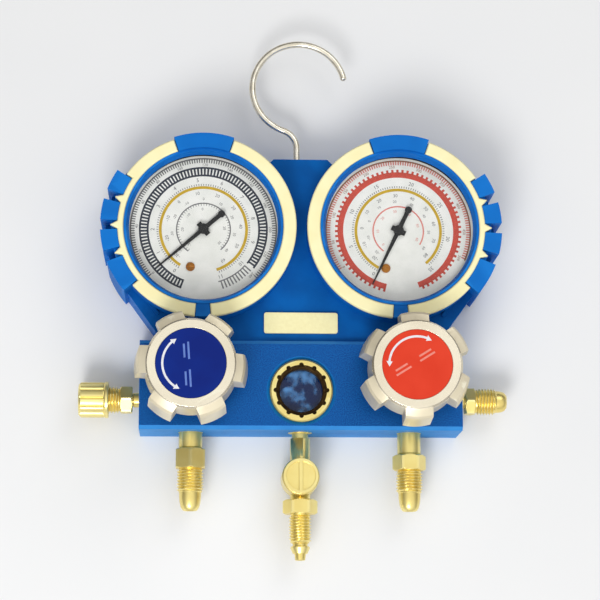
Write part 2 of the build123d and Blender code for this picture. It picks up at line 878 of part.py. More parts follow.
def gauge_case():
    inner = case_inner_radius
    cup = turned_z([
        (0, case_back_z),
        (case_radius, case_back_z),
        (case_radius, case_front_z),
        (lens_radius + thread_gap, case_front_z),
        (lens_radius + thread_gap, lens_back_z),
        (inner, lens_back_z),
        (inner, case_back_z + case_floor),
        (0, case_back_z + case_floor),
    ])
    return cup - rod_y(-case_radius, case_window_depth - case_radius, 0, port_z, socket_neck_radius + thread_gap)


def lens():
    return rod_z(lens_back_z, case_front_z, 0, 0, lens_radius)


def dial():
    face = rod_z(dial_z, dial_front_z, 0, 0, dial_radius)
    face -= rod_z(dial_z, dial_front_z, 0, 0, dial_hole_radius)
    return face - rod_z(dial_z, dial_front_z, *calibration_place, calibration_shank_radius + dial_screw_clearance)


def tube_section(shrink):
    """Flat-sided oval of the spring tube, drawn on the plane through the gauge's axis."""
    oval = SlotOverall(tube_height - 2 * shrink, tube_width - 2 * shrink)
    return Plane.XZ * Pos(tube_radius, port_z) * Rot(0, 0, 90) * oval


def swept(section, first, sweep):
    """Turns a section on the XZ plane clockwise round Z from the first angle."""
    return Rot(0, 0, first) * revolve(section, Axis.Z, -sweep)


def gauge_socket():
    stem_end = block_top - pipe_thread_length - gauge_y
    hex_start = block_top + socket_hex_clear - gauge_y
    body = rod_y(stem_end, block_top - gauge_y, 0, port_z, pipe_thread_radius)
    body += rod_y(block_top - gauge_y, hex_start, 0, port_z, socket_neck_radius)
    hexagon = RegularPolygon(socket_hex_flats / 2, 6, major_radius=False)
    nut = extrude(Plane.XZ * hexagon, amount=-socket_hex_length)
    body += Pos(0, hex_start, port_z) * nut
    body += rod_y(hex_start + socket_hex_length, socket_block_bottom, 0, port_z, socket_neck_radius)
    height = socket_block_top - socket_block_bottom
    depth = socket_front_z - socket_block_back_z
    body += Pos(0, (socket_block_top + socket_block_bottom) / 2,
                (socket_front_z + socket_block_back_z) / 2) * Box(socket_block_width, height, depth)
    body -= rod_y(stem_end, -tube_radius, 0, port_z, socket_bore_radius)
    body -= rod_x(-tube_width, 0, -tube_radius, port_z, socket_bore_radius)
    slot = swept(tube_section(-thread_gap), tube_root_angle, socket_slot_angle)
    return body - slot


def lug_low_z():
    """Underside of the lug that the link is pinned to."""
    return port_z + tube_height / 2 - lug_thickness / 2


def bourdon_tube():
    """Flattened spring tube bent round the dial's centre, with a closed tip and a slotted lug."""
    tube = swept(tube_section(0), tube_root_angle, tube_sweep)
    tube -= swept(tube_section(tube_wall), tube_root_angle, tube_sweep)
    tip = swept(tube_section(0), tube_tip_angle, degrees(tube_tip_length / tube_radius))
    x, y = link_end
    eye = Pos(x + lug_eye_shift[0], y + lug_eye_shift[1]) * Circle(lug_width / 2)
    root = Pos(*polar(tube_radius + lug_root_reach, tube_tip_angle - lug_root_angle)) * Circle(lug_root_radius)
    lug = make_hull([*eye.edges(), *root.edges()])
    slot_width = 2 * (link_pin_radius + slot_clearance)
    shift = slot_half_length - slot_width / 2
    slot_plan = SlotOverall(2 * slot_half_length, slot_width)
    slot = Pos(x, y) * Rot(0, 0, slot_angle) * Pos(shift, 0) * slot_plan
    lug_top = lug_low_z() + lug_thickness
    return tube + tip + prism_z(lug, lug_low_z(), lug_top) - prism_z(slot, lug_low_z(), lug_top)


def movement_plate(z):
    width = 2 * movement_half_width
    height = movement_top - movement_bottom
    blank = Pos(0, (movement_top + movement_bottom) / 2) * RectangleRounded(width, height, movement_corner)
    return prism_z(blank, z, z + plate_gauge_thickness)


def movement_frame():
    """Rear and front plates joined by pillars, with two longer posts that carry the dial."""
    frame = movement_plate(rear_plate_z) + movement_plate(front_plate_z)
    for k, (x, y) in enumerate(pillar_places):
        top = dial_z if k < 2 else front_plate_z
        frame += rod_z(rear_plate_z, top, x, y, pillar_radius)
    hole = arbor_radius + arbor_fit
    for x, y in ((0, 0), sector_pivot):
        frame -= rod_z(rear_plate_z, front_plate_z + plate_gauge_thickness, x, y, hole)
    return frame - rod_z(front_plate_z, front_plate_z + plate_gauge_thickness, *calibration_place,
                         calibration_shank_radius + arbor_fit)


def gear_tooth(root, tip, widths, angle):
    """One straight-sided tooth pointing along the angle; its foot sinks into the rim."""
    foot = root - tooth_sink
    half_root, half_tip = (width / 2 for width in widths)
    tooth = make_face(Polyline(
        (foot, -half_root), (root, -half_root), (tip, -half_tip),
        (tip, half_tip), (root, half_root), (foot, half_root), close=True))
    return Rot(0, 0, angle) * tooth


def pinion():
    """Arbor of the pointer with its nine-tooth pinion between the plates."""
    root = pinion_radius - tooth_dedendum
    tip = pinion_radius + tooth_addendum
    wheel = Circle(root)
    for k in range(pinion_teeth):
        wheel += gear_tooth(root, tip, pinion_tooth_widths, -90 + k * 360 / pinion_teeth)
    top = pointer_z + pointer_thickness
    middle = sector_z + sector_thickness / 2
    body = prism_z(wheel, middle - pinion_length / 2, middle + pinion_length / 2)
    return body + rod_z(rear_plate_z, top, 0, 0, arbor_radius)


def sector_gear():
    """Toothed sector with its pivot pin and the tail that the link pulls."""
    pitch_angle = 360 / (pinion_teeth * gear_ratio)
    root = sector_radius - tooth_dedendum
    tip = sector_radius + tooth_addendum
    wheel = ring_sector(root - sector_rim, root, sector_first_angle, sector_last_angle)
    # A gap of the sector faces the pinion's lowest tooth at rest
    count = int((sector_last_angle - sector_first_angle) / pitch_angle)
    for k in range(-count, count):
        angle = 90 + (k + 0.5) * pitch_angle
        if sector_first_angle + sector_end_angle < angle < sector_last_angle - sector_end_angle:
            wheel += gear_tooth(root, tip, sector_tooth_widths, angle)
    middle = (sector_first_angle + sector_last_angle) / 2
    spoke = Rot(0, 0, middle) * Pos(root / 2, 0) * Rectangle(root - sector_rim / 2, sector_web_width)
    tail = Rot(0, 0, sector_tail_angle) * Pos(sector_tail / 2, 0) * SlotOverall(
        sector_tail + sector_web_width, sector_web_width)
    wheel += spoke
    wheel += tail
    wheel += Circle(sector_web_width / 2 + sector_hub_margin)
    pin_hole = Pos(*polar(sector_tail, sector_tail_angle)) * Circle(link_pin_radius + arbor_fit)
    body = prism_z(wheel - pin_hole, sector_z, sector_z + sector_thickness)
    body += rod_z(rear_plate_z, front_plate_z + plate_gauge_thickness, 0, 0, arbor_radius)
    return Pos(*sector_pivot, 0) * body


def link():
    """Flat link from the tail of the sector to the lug on the tube's tip."""
    dx = link_end[0] - tail_point[0]
    dy = link_end[1] - tail_point[1]
    length = hypot(dx, dy)
    bar = SlotOverall(length + link_width, link_width)
    middle = Pos((link_end[0] + tail_point[0]) / 2, (link_end[1] + tail_point[1]) / 2)
    body = prism_z(middle * Rot(0, 0, degrees(atan2(dy, dx))) * bar, link_z, link_z + link_thickness)
    body += rod_z(lug_low_z() - movement_gap, link_z, *link_end, link_pin_radius)
    return body + rod_z(link_z, sector_z + sector_thickness + movement_gap, *tail_point, link_pin_radius)


def pointer(angle):
    """Tapered hand with a hub, a short cross bar and a disc on its tail."""
    half_root = pointer_root_width / 2
    half_tip = pointer_tip_width / 2
    hand = make_face(Polyline(
        (0, -half_root), (pointer_length, -half_tip), (pointer_length, half_tip), (0, half_root),
        close=True))
    tail = Pos(-pointer_tail / 2, 0) * Rectangle(pointer_tail, pointer_root_width)
    disc = Pos(-pointer_tail, 0) * Circle(pointer_tail_disc)
    cross = Rectangle(*pointer_cross)
    plan = Rot(0, 0, angle) * (hand + tail + disc + cross)
    body = prism_z(plan, pointer_z, pointer_z + pointer_thickness)
    body += rod_z(pointer_z, pointer_z + 2 * pointer_thickness, 0, 0, pointer_hub_radius)
    return body - rod_z(pointer_z, pointer_z + pointer_thickness, 0, 0, arbor_radius)


def calibration_screw():
    x, y = calibration_place
    bottom = front_plate_z
    shank = rod_z(bottom, dial_front_z, x, y, calibration_shank_radius)
    head = rod_z(dial_front_z, dial_front_z + calibration_head_height, x, y, calibration_head_radius)
    slot = Pos(x, y, dial_front_z + calibration_head_height) * Box(
        2 * calibration_head_radius, calibration_slot_width, 2 * calibration_slot_depth)
    return shank + head - slot


# Hook: bent steel wire that swivels in a bush gripped between the shells

def hook():
    bend_x = hook_x - hook_bend_radius
    cx, cy = hook_loop_centre
    across = cx - bend_x
    between = hook_loop_radius + hook_bend_radius
    bend_y = cy - sqrt(between ** 2 - across ** 2)
    join = degrees(atan2(cy - bend_y, across))
    flange_y = web_top_y - housing_wall - bush_flange_length
    head_top = flange_y - hook_end_gap
    shank_start = head_top - hook_head_length
    section = Circle(wire_radius)
    wire = rod_y(shank_start, bend_y, hook_x, port_z, wire_radius)
    bend = Plane.XZ * Pos(hook_bend_radius, 0) * section
    wire += Pos(bend_x, bend_y, port_z) * revolve(bend, Axis.Z, join)
    loop = Plane.XZ * Pos(hook_loop_radius, 0) * section
    sweep_angle = join + 180 - hook_tip_angle
    turned = Rot(0, 0, hook_tip_angle) * revolve(loop, Axis.Z, sweep_angle)
    wire += Pos(cx, cy, port_z) * turned
    tip_x, tip_y = polar(hook_loop_radius, hook_tip_angle)
    wire += Pos(cx + tip_x, cy + tip_y, port_z) * Sphere(wire_radius)
    return wire + rod_y(shank_start, head_top, hook_x, port_z, hook_head_radius)


def hook_bush():
    inside = web_top_y - housing_wall
    bush = rod_y(inside - bush_flange_length, web_top_y + bush_proud, hook_x, port_z, bush_radius)
    bush += rod_y(inside - bush_flange_length, inside, hook_x, port_z, bush_flange_radius)
    hole = rod_y(inside - bush_flange_length, web_top_y + bush_proud, hook_x, port_z, wire_radius + hook_fit)
    return bush - hole


# Ports: brass flare fittings, each turned about its own axis with its seat at z = 0

def flare_end(start, nose_start, tip):
    """Profile points of a flare thread and its rounded nose."""
    nose = tip - nose_start
    return [
        (flare_thread_radius, start + thread_lead),
        (flare_thread_radius, nose_start - thread_runout),
        (flare_root_radius, nose_start),
        *[(radius, nose_start + share * nose) for share, radius in flare_nose_steps],
        (flare_nose_radius, tip),
    ]


def flare_fitting(collar_radius, hex_flats, stations, hex_turn=0):
    """Flare fitting along +Z: pipe thread below z = 0, collar, hexagon, flare thread and nose."""
    hex_start, hex_end, nose_start, tip = stations
    body = turned_z([
        (0, -pipe_thread_length),
        (pipe_thread_radius, -pipe_thread_length),
        (pipe_thread_radius, 0),
        (collar_radius, 0),
        (collar_radius, hex_end),
        (flare_root_radius, hex_end),
        *flare_end(hex_end, nose_start, tip),
        (0, tip),
    ])
    body += Rot(0, 0, hex_turn) * hex_z(hex_flats, hex_start, hex_end)
    return body - rod_z(-pipe_thread_length, tip, 0, 0, flare_bore_radius)


def downward(x):
    """Places a piece drawn along +Z so that it leaves the bottom of the block."""
    return Pos(x, -block_top, port_z) * Rot(90, 0, 0)


def hose_port(side, stations, hex_turn):
    fitting = flare_fitting(port_collar_radius, port_hex_flats, stations, hex_turn)
    return downward(side * valve_x) * fitting


def centre_tee():
    """Forged tee whose third branch faces the front and is closed by a round cap."""
    neck = downward(0) * turned_z([
        (0, -pipe_thread_length),
        (pipe_thread_radius, -pipe_thread_length),
        (pipe_thread_radius, 0),
        (centre_waist_radius, 0),
        (centre_waist_radius, centre_waist_length),
        (centre_neck_radius, centre_waist_length),
        (centre_neck_radius, -tee_outlet_y - block_top),
        (0, -tee_outlet_y - block_top),
    ])
    drum = rod_z(tee_back_z, tee_front_z, 0, tee_body_y, tee_body_radius)
    drum = chamfer(drum.edges(), tee_edge)
    body = neck + drum
    body -= rod_y(-block_top + pipe_thread_length, tee_outlet_y, 0, port_z, flare_bore_radius)
    return body - rod_z(port_z, tee_front_z, 0, tee_body_y, tee_plug_radius + thread_gap)


def centre_tee_cap():
    """Screwed cap with a raised rim and a finger rib across it."""
    y = tee_body_y
    plug = rod_z(tee_front_z - tee_plug_length, tee_front_z, 0, y, tee_plug_radius)
    rim_z = tee_front_z + tee_cap_height
    cap = rod_z(tee_front_z, rim_z, 0, y, tee_cap_radius)
    cap -= rod_z(rim_z - tee_cap_recess, rim_z, 0, y, tee_cap_radius - tee_cap_rim)
    rib_height = tee_cap_recess + tee_cap_overlap
    rib = Pos(0, y, rim_z - rib_height / 2) * Box(tee_cap_rib, 2 * tee_cap_radius - tee_cap_rim, rib_height)
    return plug + cap + rib


def centre_flare_fitting():
    """Flare adaptor on the outlet of the tee."""
    thread_end = centre_hex_length + centre_thread_length
    groove_end = thread_end + centre_groove_length
    nose_end = groove_end + centre_cone_length
    tip = nose_end + centre_tip_length
    body = turned_z([
        (0, 0),
        (centre_thread_radius, 0),
        (centre_thread_radius, thread_end),
        (flare_nose_radius, thread_end + centre_groove_slope),
        (flare_nose_radius, groove_end),
        (centre_cone_radius, groove_end + centre_groove_slope),
        (flare_nose_radius, nose_end),
        (centre_tip_radii[0], nose_end),
        (centre_tip_radii[1], tip),
        (0, tip),
    ])
    body += hex_z(centre_hex_flats, 0, centre_hex_length)
    body -= rod_z(0, tip, 0, 0, centre_bore_radius)
    return Pos(0, tee_outlet_y, port_z) * Rot(90, 0, 0) * body


def sideways(side):
    """Places a piece drawn along +Z so that it leaves the end of the block."""
    return Pos(side * block_end, side_port_y, port_z) * Rot(0, side * 90, 0)


def side_stations(neck, hex_length, reach):
    return [neck, neck + hex_length, reach - flare_nose_length, reach]


def low_side_fitting():
    stations = side_stations(side_neck_length, side_hex_length, low_side_reach)
    return sideways(-1) * flare_fitting(side_neck_radius, side_hex_flats, stations)


def high_side_fitting():
    stations = side_stations(high_side_neck, high_side_hex_length, high_side_reach)
    return sideways(1) * flare_fitting(side_neck_radius, side_hex_flats, stations)


def low_side_cap():
    """Knurled brass cap nut over the flare thread of the low side fitting."""
    closed_end = low_side_reach + gasket_thickness + cap_end_wall
    cap = rod_z(cap_open_reach, closed_end, 0, 0, cap_radius)
    cap = chamfer(cap.edges().group_by(Axis.Z)[-1], cap_edge)
    cap -= rod_z(cap_open_reach, closed_end - cap_end_wall, 0, 0, flare_thread_radius + thread_gap)
    for k in range(cap_flutes):
        x, y = polar(cap_radius + cap_flute_offset, k * 360 / cap_flutes)
        cap -= rod_z(cap_open_reach + cap_flute_start, closed_end, x, y, cap_flute_radius)
    return sideways(-1) * cap


def low_cap_gasket():
    radius = flare_thread_radius - gasket_clearance
    return sideways(-1) * rod_z(low_side_reach, low_side_reach + gasket_thickness, 0, 0, radius)


def high_core_body():
    """Brass barrel of the spring valve inside the mouth of the high side fitting."""
    mouth = high_side_reach - core_inset
    barrel = rod_z(mouth - core_length, mouth, 0, 0, core_radius)
    return sideways(1) * (barrel - rod_z(mouth - core_length, mouth, 0, 0, core_pin_radius + core_pin_fit))


def high_core_pin():
    """Pin that a hose's depressor pushes in; its foot seals against the inner end of the barrel."""
    mouth = high_side_reach - core_inset
    seat = mouth - core_length
    pin = rod_z(seat, mouth + core_pin_proud, 0, 0, core_pin_radius)
    foot = rod_z(seat - core_foot_length, seat, 0, 0, core_radius - core_foot_margin)
    return sideways(1) * (pin + foot)


def save(name, shape):
    """Writes one sub-part to its own STEP file."""
    export_step(shape, f"parts/{name}.step")


def main():
    os.makedirs("parts", exist_ok=True)
    save("manifold_block", manifold_block())
    save("channel_plug", channel_plug())
    save("front_housing", front_housing())
    save("rear_housing", rear_housing())
    save("housing_screws", housing_screws())
    save("name_plate", name_plate())
    save("sight_seal", sight_seal())
    save("sight_glass", sight_glass())
    save("sight_ring", sight_ring())
    save("hook", hook())
    save("hook_bush", hook_bush())
    save("centre_tee", centre_tee())
    save("centre_tee_cap", centre_tee_cap())
    save("centre_flare_fitting", centre_flare_fitting())
    save("low_side_fitting", low_side_fitting())
    save("low_side_cap", low_side_cap())
    save("low_cap_gasket", low_cap_gasket())
    save("high_side_fitting", high_side_fitting())
    save("high_core_body", high_core_body())
    save("high_core_pin", high_core_pin())
    for side, word, turn, angle, stations, hex_turn in (
        (-1, "low", low_knob_angle, low_pointer_angle, low_port_stations, low_port_turn),
        (1, "high", high_knob_angle, high_pointer_angle, high_port_stations, 0),
    ):
        save(f"{word}_hose_port", hose_port(side, stations, hex_turn))
        save(f"{word}_ring_trim", ring_trim(side))
        valve_pieces = {
            "bonnet": bonnet(), "piston": piston(), "piston_seal": piston_seal(), "stem": stem(),
            "knob": knob(turn), "knob_screw": knob_screw(), "knob_label": knob_label(),
        }
        for name, shape in valve_pieces.items():
            save(f"{word}_{name}", at_valve(side, shape))
        gauge_pieces = {
            "gauge_case": gauge_case(), "lens": lens(), "dial": dial(), "gauge_socket": gauge_socket(),
            "bourdon_tube": bourdon_tube(), "movement_frame": movement_frame(), "pinion": pinion(),
            "sector_gear": sector_gear(), "link": link(), "pointer": pointer(angle),
            "calibration_screw": calibration_screw(),
        }
        for name, shape in gauge_pieces.items():
            save(f"{word}_{name}", at_gauge(side, shape))


main()
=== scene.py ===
import json
from math import ceil, cos, pi, radians, sin

import bmesh
import bpy
from mathutils import Matrix, Vector


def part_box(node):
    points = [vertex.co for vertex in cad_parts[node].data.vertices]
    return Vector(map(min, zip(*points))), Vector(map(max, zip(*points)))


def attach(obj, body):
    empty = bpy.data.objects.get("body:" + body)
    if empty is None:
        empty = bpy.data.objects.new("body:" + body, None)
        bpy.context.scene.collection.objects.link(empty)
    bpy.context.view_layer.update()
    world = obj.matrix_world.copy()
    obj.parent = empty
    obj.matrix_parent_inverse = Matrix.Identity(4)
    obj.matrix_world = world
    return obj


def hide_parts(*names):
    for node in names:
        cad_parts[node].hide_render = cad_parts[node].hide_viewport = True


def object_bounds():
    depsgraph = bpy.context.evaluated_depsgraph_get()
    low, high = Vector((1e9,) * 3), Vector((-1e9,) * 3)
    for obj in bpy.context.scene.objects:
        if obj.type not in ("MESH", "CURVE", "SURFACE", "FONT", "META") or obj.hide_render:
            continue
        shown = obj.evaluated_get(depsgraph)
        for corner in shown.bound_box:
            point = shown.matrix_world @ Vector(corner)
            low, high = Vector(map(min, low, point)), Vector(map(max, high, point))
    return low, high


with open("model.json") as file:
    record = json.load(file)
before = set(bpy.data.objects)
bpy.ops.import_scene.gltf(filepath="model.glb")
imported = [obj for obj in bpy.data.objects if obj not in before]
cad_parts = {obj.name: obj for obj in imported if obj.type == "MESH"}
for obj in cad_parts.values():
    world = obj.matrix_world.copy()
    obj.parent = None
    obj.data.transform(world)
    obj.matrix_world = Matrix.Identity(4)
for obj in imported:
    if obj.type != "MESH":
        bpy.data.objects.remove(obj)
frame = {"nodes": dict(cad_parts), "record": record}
cad_low, cad_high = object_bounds()


# Bench and camera.
# The tool lies on its back on a plain pale bench. The camera stands over it, a little to the left
# and leaning back towards the ports, at the angle of the photograph.

MM = 0.001


def screen(red, green, blue):
    """A colour as it is written for a screen, turned into the linear values of a shader."""
    def linear(value):
        share = value / 255
        return share / 12.92 if share <= 0.04045 else ((share + 0.055) / 1.055) ** 2.4
    return (linear(red), linear(green), linear(blue), 1.0)


def solid_from(bm, name):
    """Turns a finished bmesh into an object of the scene with outward normals."""
    bmesh.ops.recalc_face_normals(bm, faces=bm.faces)
    mesh = bpy.data.meshes.new(name)
    bm.to_mesh(mesh)
    bm.free()
    piece = bpy.data.objects.new(name, mesh)
    bpy.context.scene.collection.objects.link(piece)
    return piece


bench_half_width = 1.6
bench_thickness = 0.02
bench_parts = 8
bench_bm = bmesh.new()
bmesh.ops.create_grid(
    bench_bm, x_segments=bench_parts, y_segments=bench_parts, size=bench_half_width)
bmesh.ops.solidify(bench_bm, geom=bench_bm.faces[:], thickness=bench_thickness)
bench = solid_from(bench_bm, "bench")
bench.location.z = cad_low.z - max(v.co.z for v in bench.data.vertices)

bench_paint = bpy.data.materials.new("pale_bench")
bench_paint.use_nodes = True
bench_nodes = bench_paint.node_tree.nodes
bench_links = bench_paint.node_tree.links
bench_skin = bench_nodes["Principled BSDF"]
bench_skin.inputs["Roughness"].default_value = 0.9
bench_tone = bench_nodes.new("ShaderNodeTexNoise")
bench_tone.inputs["Scale"].default_value = 30
bench_ramp = bench_nodes.new("ShaderNodeValToRGB")
bench_ramp.color_ramp.elements[0].color = screen(232, 233, 234)
bench_ramp.color_ramp.elements[1].color = screen(240, 240, 240)
bench_links.new(bench_tone.outputs["Fac"], bench_ramp.inputs["Fac"])
bench_links.new(bench_ramp.outputs["Color"], bench_skin.inputs["Base Color"])
bench.data.materials.append(bench_paint)

view_point = Vector((0, 38, 15)) * MM
view_azimuth = radians(-14)
view_elevation = radians(78.5)
view_distance = 0.9
view_roll = radians(-0.1)
away = Vector((
    sin(view_azimuth) * cos(view_elevation),
    -cos(view_azimuth) * cos(view_elevation),
    sin(view_elevation)))
across = Vector((0, 1, 0)).cross(away).normalized()
facing = Matrix((across, away.cross(across), away)).transposed().to_4x4()
lens = bpy.data.cameras.new("camera")
lens.sensor_width = 36
lens.lens = 127
camera = bpy.data.objects.new("camera", lens)
stand = Matrix.Translation(view_point + away * view_distance)
camera.matrix_world = stand @ facing @ Matrix.Rotation(view_roll, 4, "Z")
bpy.context.scene.collection.objects.link(camera)
bpy.context.scene.camera = camera


# Studio light.
# One large soft lamp stands beyond the ports and above, as the light falls in the photograph, with
# a weaker one opposite. The surround is pale overhead and towards the ports, and darker behind.

def soft_lamp(name, place, size, power):
    """Round lamp that shines on the middle of the tool."""
    light = bpy.data.lights.new(name, "AREA")
    light.shape = "DISK"
    light.size = size
    light.energy = power
    lamp = bpy.data.objects.new(name, light)
    lamp.location = place
    lamp.rotation_euler = (Vector(place) - tool_middle).to_track_quat("Z", "Y").to_euler()
    bpy.context.scene.collection.objects.link(lamp)


tool_middle = Vector((0, 0.03, 0))
soft_lamp("key_lamp", (-0.22, -0.68, 0.82), size=0.45, power=5.5)
soft_lamp("fill_lamp", (0.42, 0.66, 0.85), size=0.7, power=2.1)

brightest_way = (0.06, -0.42, 0.905)
surround = bpy.data.worlds.new("surround")
bpy.context.scene.world = surround
surround.use_nodes = True
sky_nodes = surround.node_tree.nodes
sky_links = surround.node_tree.links
sky = sky_nodes["Background"]
sky_place = sky_nodes.new("ShaderNodeTexCoord")
sky_rise = sky_nodes.new("ShaderNodeVectorMath")
sky_rise.operation = "DOT_PRODUCT"
sky_rise.inputs[1].default_value = brightest_way
sky_links.new(sky_place.outputs["Generated"], sky_rise.inputs[0])
sky_ramp = sky_nodes.new("ShaderNodeValToRGB")
sky_ramp.color_ramp.elements[0].position = 0.05
sky_ramp.color_ramp.elements[0].color = (0.07, 0.065, 0.06, 1)
sky_ramp.color_ramp.elements[1].position = 0.80
sky_ramp.color_ramp.elements[1].color = (0.95, 0.95, 0.94, 1)
sky_middle = sky_ramp.color_ramp.elements.new(0.55)
sky_middle.color = (0.44, 0.44, 0.45, 1)
sky_links.new(sky_rise.outputs["Value"], sky_ramp.inputs["Fac"])
sky_path = sky_nodes.new("ShaderNodeLightPath")
sky_mix = sky_nodes.new("ShaderNodeMix")
sky_mix.data_type = "RGBA"
sky_links.new(sky_path.outputs["Is Camera Ray"], sky_mix.inputs["Factor"])
sky_links.new(sky_ramp.outputs["Color"], sky_mix.inputs["A"])
sky_mix.inputs["B"].default_value = (1, 1, 1, 1)
sky_links.new(sky_mix.outputs["Result"], sky.inputs["Color"])
bpy.context.scene.view_settings.view_transform = "Standard"


# Manifold block.
# One bar of aluminium, drilled and bored, with both long front edges chamfered. It is blasted to a
# fine sparkle and anodised blue. Its sides and chamfers are painted a lighter blue with a pale
# line
# along their edges: painted light and painted highlight where the key lamp falls. Everything else
# screws into it.

def finish(name, dark, light, patch, metallic=0.0, rough=(0.4, 0.5), grain=2500, bump=0.1,
           edge=None, edge_highlight_share=0.5, coat=0.0, coat_roughness=0.1, contrast=(0.35, 0.65),
           detail=3, shine=0.5):
    """A surface whose tone wanders in patches, with a fine grain and, if given, a painted
    highlight on its edges.
    """
    material = bpy.data.materials.new(name)
    material.use_nodes = True
    nodes = material.node_tree.nodes
    links = material.node_tree.links
    skin = nodes["Principled BSDF"]
    skin.inputs["Metallic"].default_value = metallic
    skin.inputs["Specular IOR Level"].default_value = shine
    skin.inputs["Coat Weight"].default_value = coat
    skin.inputs["Coat Roughness"].default_value = coat_roughness
    place = nodes.new("ShaderNodeTexCoord")
    tone = nodes.new("ShaderNodeTexNoise")
    tone.inputs["Scale"].default_value = patch
    tone.inputs["Detail"].default_value = detail
    links.new(place.outputs["Object"], tone.inputs["Vector"])
    ramp = nodes.new("ShaderNodeValToRGB")
    ramp.color_ramp.elements[0].position = contrast[0]
    ramp.color_ramp.elements[0].color = dark
    ramp.color_ramp.elements[1].position = contrast[1]
    ramp.color_ramp.elements[1].color = light
    links.new(tone.outputs["Fac"], ramp.inputs["Fac"])
    colour = ramp.outputs["Color"]
    # Painted highlight: the edge colour is mixed in where the surface is pointy, along its edges.
    if edge:
        shape = nodes.new("ShaderNodeNewGeometry")
        rim = nodes.new("ShaderNodeMapRange")
        rim.inputs["From Min"].default_value = 0.51
        rim.inputs["From Max"].default_value = 0.60
        rim.inputs["To Max"].default_value = edge_highlight_share
        links.new(shape.outputs["Pointiness"], rim.inputs["Value"])
        mix = nodes.new("ShaderNodeMix")
        mix.data_type = "RGBA"
        links.new(rim.outputs["Result"], mix.inputs["Factor"])
        links.new(colour, mix.inputs["A"])
        mix.inputs["B"].default_value = edge
        colour = mix.outputs["Result"]
    links.new(colour, skin.inputs["Base Color"])
    fine = nodes.new("ShaderNodeTexNoise")
    fine.inputs["Scale"].default_value = grain
    fine.inputs["Detail"].default_value = 2
    links.new(place.outputs["Object"], fine.inputs["Vector"])
    rub = nodes.new("ShaderNodeMapRange")
    rub.inputs["From Min"].default_value = 0.3
    rub.inputs["From Max"].default_value = 0.7
    rub.inputs["To Min"].default_value = rough[0]
    rub.inputs["To Max"].default_value = rough[1]
    links.new(fine.outputs["Fac"], rub.inputs["Value"])
    links.new(rub.outputs["Result"], skin.inputs["Roughness"])
    relief = nodes.new("ShaderNodeBump")
    relief.inputs["Strength"].default_value = bump
    relief.inputs["Distance"].default_value = 0.1 * MM
    links.new(fine.outputs["Fac"], relief.inputs["Height"])
    links.new(relief.outputs["Normal"], skin.inputs["Normal"])
    return material


def smooth(piece, crease=32):
    """Smooth shading with crisp edges where the faces meet at more than the crease angle."""
    piece.data.polygons.foreach_set("use_smooth", [True] * len(piece.data.polygons))
    piece.data.set_sharp_from_angle(angle=radians(crease))
    even = piece.modifiers.new("even_normals", "WEIGHTED_NORMAL")
    even.keep_sharp = True
    return piece


def fitted(piece, body, slot, *materials):
    """Gives a piece its finish and fixes it to the body that carries it."""
    for material in materials:
        piece.data.materials.append(material)
    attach(piece, body)
    return piece


slot_of = {row["node"]: row["material_slot"] for row in frame["record"]["subparts"]}
body_of = {}
for carrier, names in frame["record"]["behaviour"]["bodies"].items():
    for node in names:
        body_of[node] = carrier

weld_before = 0.001
weld_after = 0.002
flat_within = radians(0.3)


def eased(node, name, material, width, steps=2, crease=28, shortest=0.45):
    """The solid of a CAD node with its sharp edges rounded, as moulding or machining does."""
    bm = bmesh.new()
    bm.from_mesh(frame["nodes"][node].data)
    bmesh.ops.remove_doubles(bm, verts=bm.verts, dist=weld_before * MM)
    bmesh.ops.dissolve_limit(bm, angle_limit=flat_within, verts=bm.verts, edges=bm.edges)
    sharp = [
        edge for edge in bm.edges
        if len(edge.link_faces) == 2 and edge.calc_face_angle(0) > radians(crease)
        and edge.calc_length() > shortest * MM]
    bmesh.ops.bevel(
        bm, geom=sharp, offset=width * MM, offset_type="OFFSET", segments=steps, profile=0.5,
        affect="EDGES", clamp_overlap=True)
    bmesh.ops.remove_doubles(bm, verts=bm.verts, dist=weld_after * MM)
    for face in bm.faces:
        face.material_index = 0
    piece = smooth(solid_from(bm, name))
    fitted(piece, body_of[node], slot_of[node], material)
    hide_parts(node)
    return piece


def refaced(piece, material, chosen):
    """Gives the faces that a test on their middle and normal picks a finish of their own."""
    piece.data.materials.append(material)
    for face in piece.data.polygons:
        if chosen(face.center, face.normal):
            face.material_index = len(piece.data.materials) - 1


flat_to_front = 0.95
blasted_blue = finish(
    "blasted_blue_anodising", screen(0, 64, 138), screen(10, 108, 188), 2200, metallic=0.5,
    rough=(0.36, 0.52), grain=3200, bump=0.2, contrast=(0.34, 0.72), detail=5, shine=0.3)
# Painted light: every face not turned to the front takes a lighter blue, and its pale edge colour
# is a painted highlight.
lit_side_blue = finish(
    "blue_anodising_painted_light", screen(10, 104, 184), screen(22, 118, 198), 120, metallic=0.1,
    rough=(0.45, 0.55), grain=2600, bump=0.05, edge=screen(96, 178, 242), edge_highlight_share=0.6,
    shine=0.08)
block = eased("manifold_block", "anodised_block", blasted_blue, 0.3)
refaced(block, lit_side_blue, lambda middle, normal: abs(normal.z) < flat_to_front)

turned_brass = finish(
    "turned_brass", screen(238, 214, 128), screen(250, 232, 150), 60, metallic=0.8,
    rough=(0.29, 0.31), grain=500, bump=0.004, edge=screen(255, 246, 186), edge_highlight_share=0.5)


def keep(node, material):
    """A CAD node whose shape is right, given its finish."""
    for place in frame["nodes"][node].material_slots:
        place.material = material


keep("channel_plug", turned_brass)


# Gauge housing.
# Two moulded shells of matte blue plastic, screwed together from the back round both gauges. The
# front one has a raised collar with a lip round each glass, a tab on top and finger pads outside.

shell_blue = finish(
    "moulded_blue_plastic", screen(0, 94, 178), screen(0, 106, 196), 60, rough=(0.45, 0.6),
    grain=3200, bump=0.1, edge=screen(30, 136, 226), edge_highlight_share=0.55, shine=0.12)
